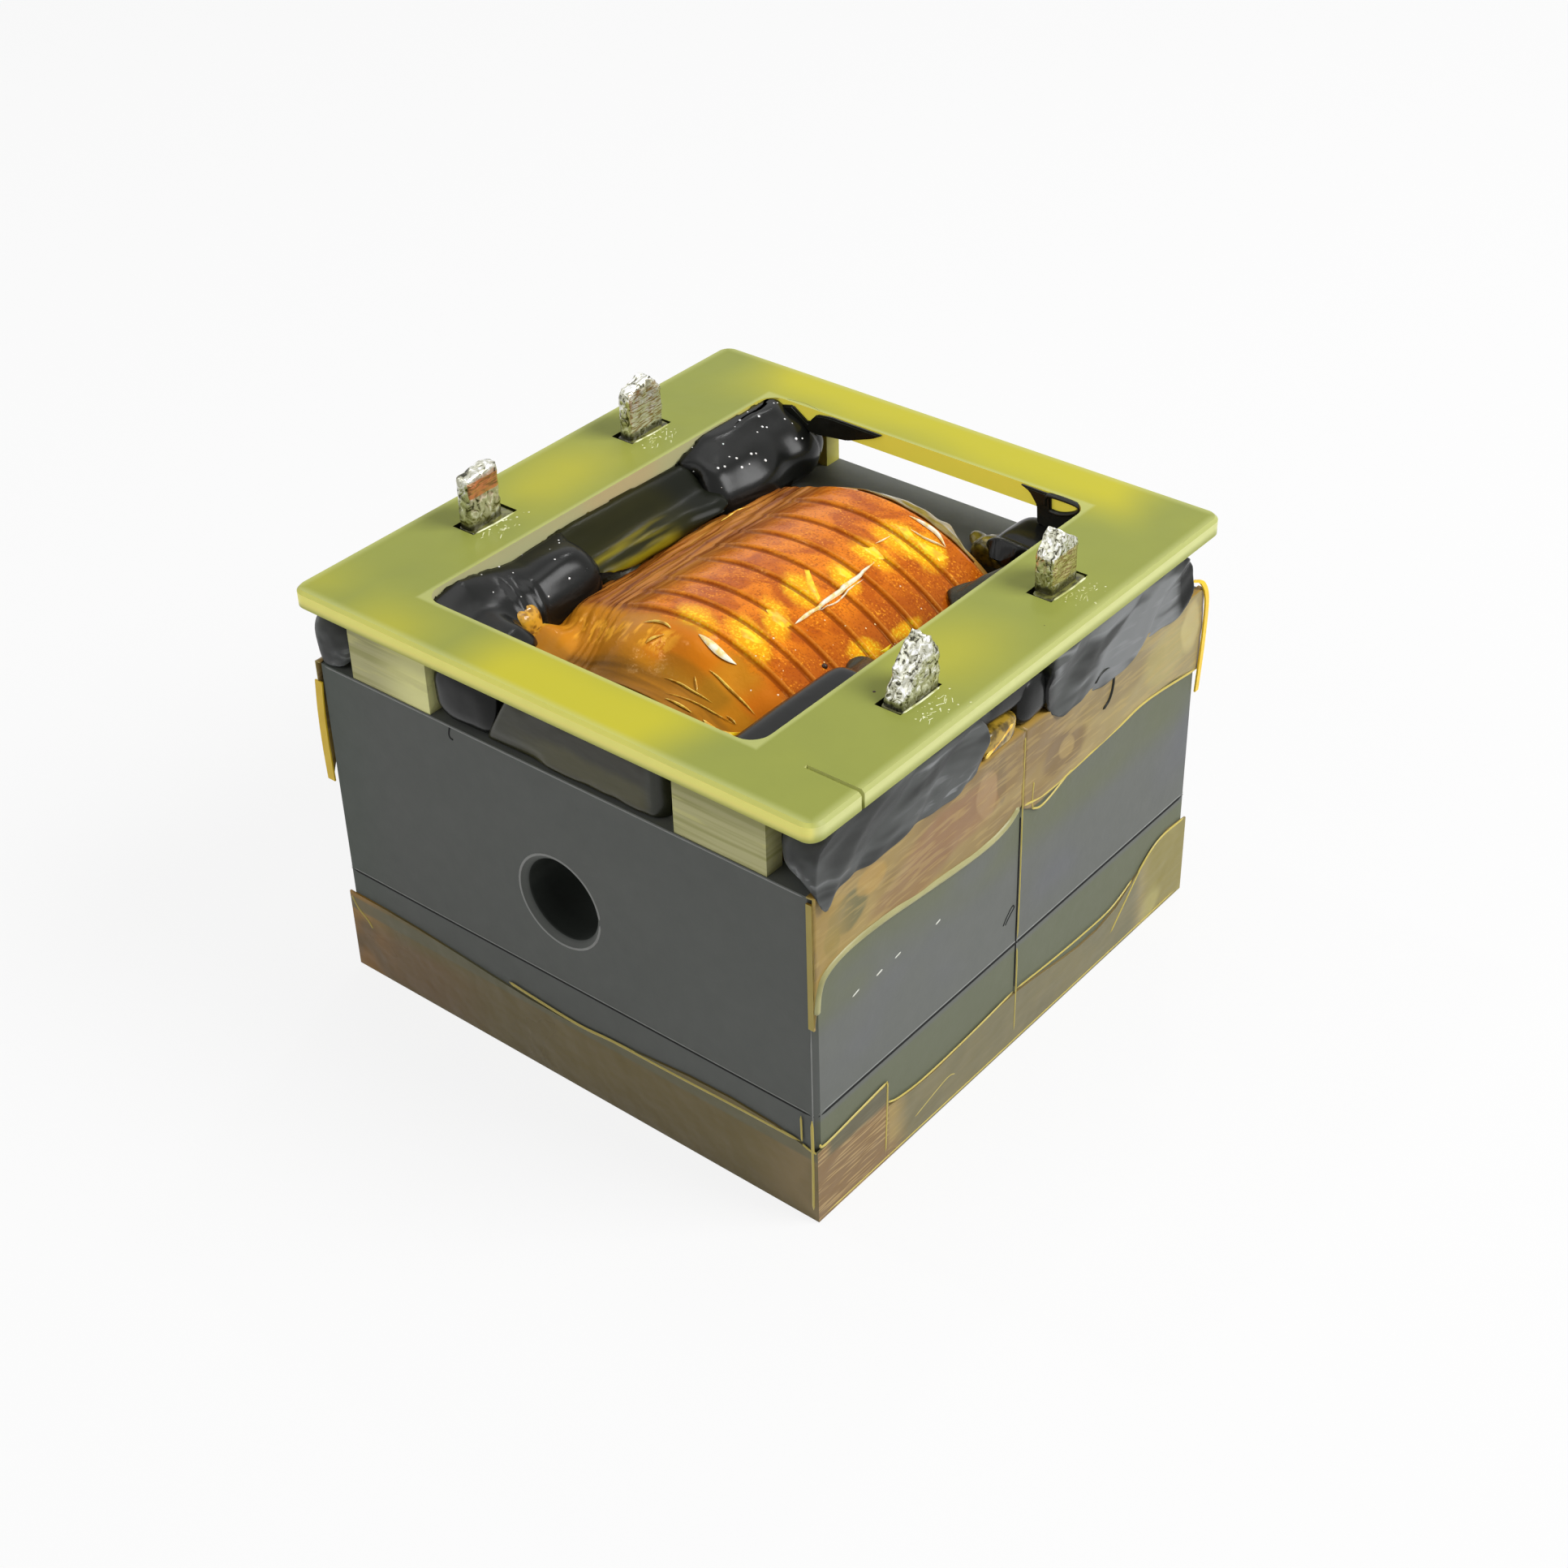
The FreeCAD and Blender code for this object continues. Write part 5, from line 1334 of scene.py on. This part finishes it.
TAPE_EDGES = (
    (RIGHTWARD, 0.26, 0.12, (-29.4, 9.0), (-28.6, 8.5), (-24.0, 8.9), (-19.8, 9.3)),
    (RIGHTWARD, 0.22, 0.12, (-19.8, 9.4), (-19.9, 6.0), (-20.1, 0.9)),
    (RIGHTWARD, 0.2, 0.1, (-19.7, 6.8), (-18.0, 6.2), (-14.0, 5.8), (-7.0, 6.0), (-0.4, 6.5)),
    (RIGHTWARD, 0.2, 0.1, (0.2, 6.5), (6.0, 6.0), (12.0, 5.7), (16.4, 5.8), (20.0, 7.0)),
    (RIGHTWARD, 0.24, 0.12, (16.4, 2.5), (19.5, 5.6), (22.0, 7.9), (25.0, 9.2), (29.4, 9.1)),
    (RIGHTWARD, 0.24, 0.14, (0.2, 27.6), (4.6, 27.0), (15.0, 27.6), (20.5, 28.0), (29.4, 26.9)),
    (RIGHTWARD, 0.16, 0.1, (1.7, 29.4), (1.55, 28.0), (1.6, 26.5)),
    (RIGHTWARD, 0.22, 0.12, (1.6, 26.5), (3.0, 26.0), (5.1, 26.4), (8.0, 27.4)),
    (RIGHTWARD, 0.16, 0.1, (0.05, 35.4), (0.0, 30.0), (0.05, 20.0), (0.0, 12.6)),
    (RIGHTWARD, 0.18, 0.1, (0.0, 11.5), (0.05, 8.0), (-0.05, 1.2)),
    (RIGHTWARD, 0.12, 0.08, (-16.0, 2.0), (-11.0, 3.2), (-9.5, 2.9)),
    (RIGHTWARD, 0.2, 0.1, (-29.5, 0.35), (-10.0, 0.3), (10.0, 0.3), (29.5, 0.35)),
    (FORWARD, 0.3, 0.14, (-7.6, 8.5), (-4.0, 8.2), (1.3, 7.9), (5.8, 8.2), (12.6, 8.3), (20.0, 8.5), (27.2, 8.6)),
    (FORWARD, 0.22, 0.1, (27.3, 11.6), (27.35, 8.6)),
    (FORWARD, 0.34, 0.14, (28.5, 11.7), (28.55, 6.0), (28.5, 1.0)),
    (FORWARD, 0.2, 0.1, (27.4, 8.4), (28.2, 8.1), (29.0, 8.1)),
    (FORWARD, 0.26, 0.12, (-28.9, 8.6), (-28.2, 7.4), (-27.0, 6.4), (-26.4, 5.6)),
    (LEFTWARD, 0.24, 0.12, (-29.4, 8.4), (-15.0, 8.8), (0.0, 6.2), (15.0, 6.6), (29.4, 8.4)),
)
beads("tape_edges", tape_strokes(TAPE_EDGES), YELLOW_EDGE)

ROLLED_RIM = (
    (-29.4, 23.6), (-29.1, 25.8), (-28.2, 27.2), (-25.6, 28.0), (-21.0, 28.0), (-15.2, 27.4), (-9.5, 26.8),
    (-5.2, 26.6), (-2.4, 27.0), (-0.6, 28.0),
)
beads("rolled_tape_rim", tape_strokes([(RIGHTWARD, 0.72, 0.28, *ROLLED_RIM)]), PALE_EDGE)


def loose_strip(name, path, reach, thickness, material):
    """A strip of tape that follows `path`, `reach` wide and `thickness` thick, both vectors."""
    offsets = [(share, side) for share in (0, 1) for side in (-0.5, 0.5)]
    points = [place + reach * share + thickness * side for place in path for share, side in offsets]
    faces = []
    for n in range(len(path) - 1):
        a = 4 * n
        b = a + 4
        for here, there in ((0, 1), (1, 3), (3, 2), (2, 0)):
            faces.append((a + here, a + there, b + there, b + here))
    faces += [(0, 2, 3, 1), (len(points) - 4, len(points) - 3, len(points) - 1, len(points) - 2)]
    return new_piece(name, points, faces, material, rounded=False)


left_path = curve_through(
    ((-29.45, -29.62, 33.6), (-29.75, -29.62, 30.0), (-29.85, -29.6, 26.0), (-29.75, -29.6, 22.3)), 8
)
loose_strip("loose_strip_left", left_path, RIGHTWARD * 0.95, BACKWARD * 0.16, BRIGHT_EDGE)
right_path = curve_through(
    ((28.5, 28.2, 36.9), (29.0, 29.0, 36.5), (29.3, 29.5, 34.6), (29.3, 29.45, 30.0), (29.2, 29.1, 24.4)), 8
)
loose_strip("loose_strip_right", right_path, BACKWARD * 0.6, RIGHTWARD * 0.18, BRIGHT_EDGE)
corner_path = straight((28.4, -29.62, 35.2), (28.4, -29.62, 22.0), 12)
loose_strip("corner_strip", corner_path, RIGHTWARD * 0.6, BACKWARD * 0.22, TAPE)

# The bands: film folded over the ferrite's top edge, its lower edge cut by hand.
BAND_EDGES = {
    "right_front": (
        (-29.6, 22.4), (-29.3, 24.6), (-28.4, 27.0), (-25.6, 27.9), (-21.0, 27.9), (-15.2, 27.3), (-9.5, 26.7),
        (-5.2, 26.5), (-2.4, 26.9), (0.0, 28.0),
    ),
    "right_rear": (
        (0.0, 27.4), (1.5, 26.6), (4.6, 26.8), (10.0, 27.2), (15.0, 27.5), (20.5, 28.0), (25.0, 27.8), (29.6, 26.8),
    ),
    "left_front": ((-29.6, 22.4), (-28.6, 25.6), (-24.0, 27.0), (-14.0, 27.4), (-6.0, 26.8), (0.0, 27.6)),
    "left_rear": ((0.0, 27.4), (6.0, 26.7), (15.0, 27.6), (22.0, 28.1), (29.6, 27.0)),
}
BAND_TOP = 35.88
BAND_INNER = 20.1
BAND_TOP_END = 26.9
BAND_ROWS = 75
BAND_TOP_COLUMNS = 10
BAND_SIDE_COLUMNS = 30
BAND_THICK = 0.12


def band_place(sign, along, column, edge, lift):
    if column < BAND_TOP_COLUMNS:
        share = column / BAND_TOP_COLUMNS
        wave = 0.05 * noise.noise(Vector((share * 6, along * 0.3, sign)))
        inner = BAND_INNER if abs(along) < BAND_TOP_END else CORE_SIDE - 0.5
        across = inner + (CORE_SIDE - 0.1 - inner) * share
        return Vector((sign * across, along, BAND_TOP + wave - 0.14 + lift))
    share = (column - BAND_TOP_COLUMNS) / BAND_SIDE_COLUMNS
    up = BAND_TOP - 0.1 + (edge - BAND_TOP + 0.1) * share
    wave = 0.16 * (noise.noise(Vector((along * 0.16, up * 0.3, sign * 4))) + 0.3)
    wave += 0.06 * noise.noise(Vector((along * 0.5, up * 0.8, sign * 7)))
    return Vector((sign * (CORE_SIDE + 0.03 + max(0.02, wave) + lift), along, up))


for place, edges in BAND_EDGES.items():
    sign = 1 if place.startswith("right") else -1
    near, far = (-29.65, -0.02) if place.endswith("front") else (0.02, 29.65)
    columns = BAND_TOP_COLUMNS + BAND_SIDE_COLUMNS + 1
    points = []
    for lift in (0.0, BAND_THICK):
        for row in range(BAND_ROWS):
            along = near + (far - near) * row / (BAND_ROWS - 1)
            edge = along_line(along, edges)
            points += [band_place(sign, along, column, edge, lift) for column in range(columns)]
    faces = sheet_faces(BAND_ROWS, columns)
    if sign > 0:
        faces = [face[::-1] for face in faces]
    band = new_piece(f"band_skin_{place}", points, faces, TAPE)
    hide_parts(f"band_{place}")

# A hair and the bent end of a thread on the right band.
HAIR = ((10.9, 34.9), (11.8, 35.5), (13.2, 35.5), (14.0, 34.7), (14.1, 33.2), (13.6, 31.9), (12.6, 31.2))
beads("hair", tape_strokes([(RIGHTWARD, 0.24, 0.2, *HAIR)]), BLACK)


# Black patches on the rear inner face of the board's window.
def patch(name, outline, thickness):
    """A flat patch on the window's rear wall, from (x, z) corners, with a softened rim."""
    mesh = bpy.data.meshes.new(name)
    shape = bmesh.new()
    face = shape.faces.new([shape.verts.new((x * MM, REAR_WALL * MM, z * MM)) for x, z in outline])
    grown = bmesh.ops.extrude_face_region(shape, geom=[face])
    moved = [item for item in grown["geom"] if isinstance(item, bmesh.types.BMVert)]
    bmesh.ops.translate(shape, verts=moved, vec=FORWARD * thickness * MM)
    bmesh.ops.recalc_face_normals(shape, faces=shape.faces[:])
    bmesh.ops.bevel(shape, geom=shape.edges[:], offset=thickness * 0.3 * MM, segments=2, affect="EDGES")
    bmesh.ops.triangulate(shape, faces=shape.faces[:])
    # The bevel leaves its points and faces in another order each run, so they are sorted.
    corners = sorted(tuple(vertex.co) for vertex in shape.verts)
    order = {corner: n for n, corner in enumerate(corners)}
    faces = []
    for face in shape.faces:
        ring = [order[tuple(vertex.co)] for vertex in face.verts]
        first = ring.index(min(ring))
        faces.append(ring[first:] + ring[:first])
    mesh.from_pydata(corners, [], sorted(faces))
    shape.free()
    add_piece(name, mesh, BLACK)


REAR_WALL = WINDOW_END + 0.03
FLAP = (
    (-17.6, 41.4), (-17.6, 43.1), (-16.0, 43.5), (-14.0, 42.2), (-12.9, 43.4), (-11.2, 43.66), (-4.7, 43.6),
    (-5.9, 42.9), (-9.1, 41.7), (-12.8, 41.2),
)
STRAP = (
    (11.6, 43.64), (12.5, 43.64), (14.4, 43.6), (15.1, 43.66), (15.2, 41.8), (18.6, 42.4), (18.6, 41.2),
    (15.0, 39.9), (13.7, 40.2), (13.6, 42.0), (12.7, 43.2),
)
LOOP = (
    (14.6, 42.2), (14.7, 43.3), (15.6, 43.55), (17.9, 43.5), (18.4, 43.1), (17.6, 42.4), (16.2, 41.9), (14.9, 41.9),
)
patch("black_flap_left", FLAP, 0.5)
patch("black_strap_right", STRAP, 0.45)
beads("black_loop", [(level_curve(1, REAR_WALL - 0.25, LOOP, 6), 0.5, 0.4, FORWARD)], BLACK)
CRACK = ((-17.3, 0.15), (-15.0, 0.5), (-12.6, 0.1))
crack = curve_through([(x, WINDOW_END + in_board, BOARD_TOP) for x, in_board in CRACK], 8)
beads("hairline", [(crack, 0.1, 0.05, UP)], BLACK)

# Ragged burrs under the left edge of the window.
points = []
faces = []
draw = random.Random(21)
for along, count in ((-15.5, 9), (-7.5, 8), (-1.0, 4)):
    for _ in range(count):
        centre = Vector((-WINDOW_SIDE + 0.1, along + draw.uniform(-2.2, 2.2), BOARD_LOW + draw.uniform(-0.2, 0.5)))
        dome(points, faces, centre, RIGHTWARD, draw.uniform(0.2, 0.55), draw.uniform(0.2, 0.5), 8)
BURR = dark_look("burr", "4a4218", "8a7c35", 0.25)
new_piece("window_burrs", points, faces, BURR)

# Dust on the film and the board.
points = []
faces = []
dome(points, faces, on_film(-5.4, 33.8), Vector((0.55, 0, 0.83)), 0.32, 0.3, 12)
dome(points, faces, Vector((22.1, -12.4, BOARD_TOP)), UP, 0.17, 0.1, 10)
dome(points, faces, Vector((27.6, 4.6, BOARD_TOP)), UP, 0.08, 0.06, 8)
new_piece("dust", points, faces, dark_look("dust", "2a1c12", "4a2d18"))

# Set amber glue in the rear right corner of the window, one uneven lump on the ferrite.
GLUE = gleam_look("amber_glue", "5a5120", "a08e36")
bag("amber_glue_rear", (10.2, 23.4, CORE_TOP + 0.3), (3.7, 1.8, 1.5), 0.8, GLUE, 0.9)
bag("amber_glue_tail", (13.2, 23.6, CORE_TOP + 0.1), (1.5, 1.2, 0.8), 0.8, GLUE, 0.5)

# The film's corner stands up as a gold fold beside the front left sleeve.
GOLD_FOLD = gleam_look("gold_fold", "7d5014", "e3ab34")
bag("film_corner_fold", (-15.1, -17.2, 38.6), (2.3, 1.6, 2.2), 0.5, GOLD_FOLD, 0.1)

# Between the right sleeves the wrapped leads show, amber in front and black behind.
AMBER_FACET = gleam_look("amber_facet", "5c4a16", "b08f30")
bag("amber_facet", (26.9, -3.6, 37.0), (2.25, 3.0, 1.35), 0.5, AMBER_FACET, 0.08)
# Painted highlight: a bright line along the amber facet.
facet_line = curve_through(((29.1, -6.0, 36.2), (29.12, -4.2, 36.8), (29.1, -1.9, 37.6)), 8)
beads("amber_facet_gleam", [(facet_line, 0.45, 0.12, RIGHTWARD)], AMBER_GLEAM)
bag("black_gap_film", (26.4, -1.4, 39.9), (2.35, 5.0, 1.65), 0.55, SLEEVE, 0.1)
bag("black_gap_lead", (26.8, 1.7, 38.2), (2.35, 2.4, 2.5), 0.6, SLEEVE, 0.12)

# Floor, backdrop and world: white to the camera and to reflections, a plain level to the rest.
SKY_LEVEL = 0.18
FLOOR_WHITE = 0.86
FLOOR_HALF = 0.9
WHITE = (1, 1, 1, 1)
world = bpy.data.worlds.new("studio")
bpy.context.scene.world = world
world.use_nodes = True
sky = Graph(world.node_tree)
levels = {"Value": sky.seen_directly(), "To Min": SKY_LEVEL, "To Max": 1.0}
background = sky.tree.nodes["Background"].inputs
sky.feed(background["Strength"], sky.node("ShaderNodeMapRange", levels, "Result"))
sky.feed(background["Color"], WHITE)

ground = Look("floor", Roughness=0.9, Specular_IOR_Level=0.0, Base_Color=(0.8, 0.8, 0.8, 1))
matt = Value(ground, ground.tree.nodes["Principled BSDF"].outputs[0])
glow = ground.node("ShaderNodeEmission", {"Strength": 1.0})
blend = ground.node("ShaderNodeMixShader", {0: ground.seen_directly() * FLOOR_WHITE, 1: matt, 2: glow})
ground.feed(ground.tree.nodes["Material Output"].inputs["Surface"], blend)
floor_mesh = bpy.data.meshes.new("floor")
corners = [(x * FLOOR_HALF, y * FLOOR_HALF, 0) for x, y in ((-1, -1), (1, -1), (1, 1), (-1, 1))]
floor_mesh.from_pydata(corners, [], [(0, 1, 2, 3)])
floor_mesh.materials.append(ground.material)
floor = bpy.data.objects.new("floor", floor_mesh)
bpy.context.scene.collection.objects.link(floor)
floor.location.z = -0.0001


def lamp(name, direction, distance, level, size):
    """A soft area light that gives `level` times a plain white on a surface facing it."""
    light = bpy.data.lights.new(name, "AREA")
    light.shape = "SQUARE"
    light.size = size
    light.energy = level * math.pi * math.pi * distance * distance
    spot = bpy.data.objects.new(name, light)
    bpy.context.scene.collection.objects.link(spot)
    direction = Vector(direction).normalized()
    spot.location = LIT_PLACE + direction * distance
    spot.rotation_euler = direction.to_track_quat("Z", "Y").to_euler()


LIT_PLACE = Vector((0, 0, 0.03))
lamp("key", (0.65, 0.30, 0.70), 0.7, 0.88, 0.35)
lamp("fill", (-0.35, -0.75, 0.55), 0.8, 0.14, 0.5)
lamp("top", (-0.1, 0.2, 1.0), 0.7, 0.2, 0.4)
lamp("glint_left", (-0.55, -0.1, 0.83), 0.6, 0.05, 0.03)
lamp("glint_rear", (-0.25, 0.6, 0.76), 0.6, 0.05, 0.03)

# Camera, solved from the board's corners in the photograph.
AZIMUTH = math.radians(40.302)
ELEVATION = math.radians(34.914)
ROLL = math.radians(-1.854)
DISTANCE = 0.240379
TARGET = Vector((0, 0, 0.021859))
FRAME_PIXELS = 1932
FOCAL_PIXELS = 3087.154
CENTRE_PIXELS = (-17.643, -45.696)
SENSOR = 36.0
flat = math.cos(ELEVATION)
back = Vector((math.sin(AZIMUTH) * flat, -math.cos(AZIMUTH) * flat, math.sin(ELEVATION)))
level_x = UP.cross(back).normalized()
level_y = back.cross(level_x)
camera_x = level_x * math.cos(ROLL) + level_y * math.sin(ROLL)
camera_y = level_y * math.cos(ROLL) - level_x * math.sin(ROLL)
lens = bpy.data.cameras.new("camera")
lens.sensor_width = SENSOR
lens.lens = FOCAL_PIXELS / FRAME_PIXELS * SENSOR
lens.shift_x = -CENTRE_PIXELS[0] / FRAME_PIXELS
lens.shift_y = CENTRE_PIXELS[1] / FRAME_PIXELS
lens.clip_start = 0.01
camera = bpy.data.objects.new("camera", lens)
bpy.context.scene.collection.objects.link(camera)
axes = (camera_x, camera_y, back, TARGET + back * DISTANCE)
rows = [[axis[n] for axis in axes] for n in range(3)]
camera.matrix_world = Matrix((*rows, (0, 0, 0, 1)))
bpy.context.scene.camera = camera
bpy.context.scene.view_settings.view_transform = "Standard"
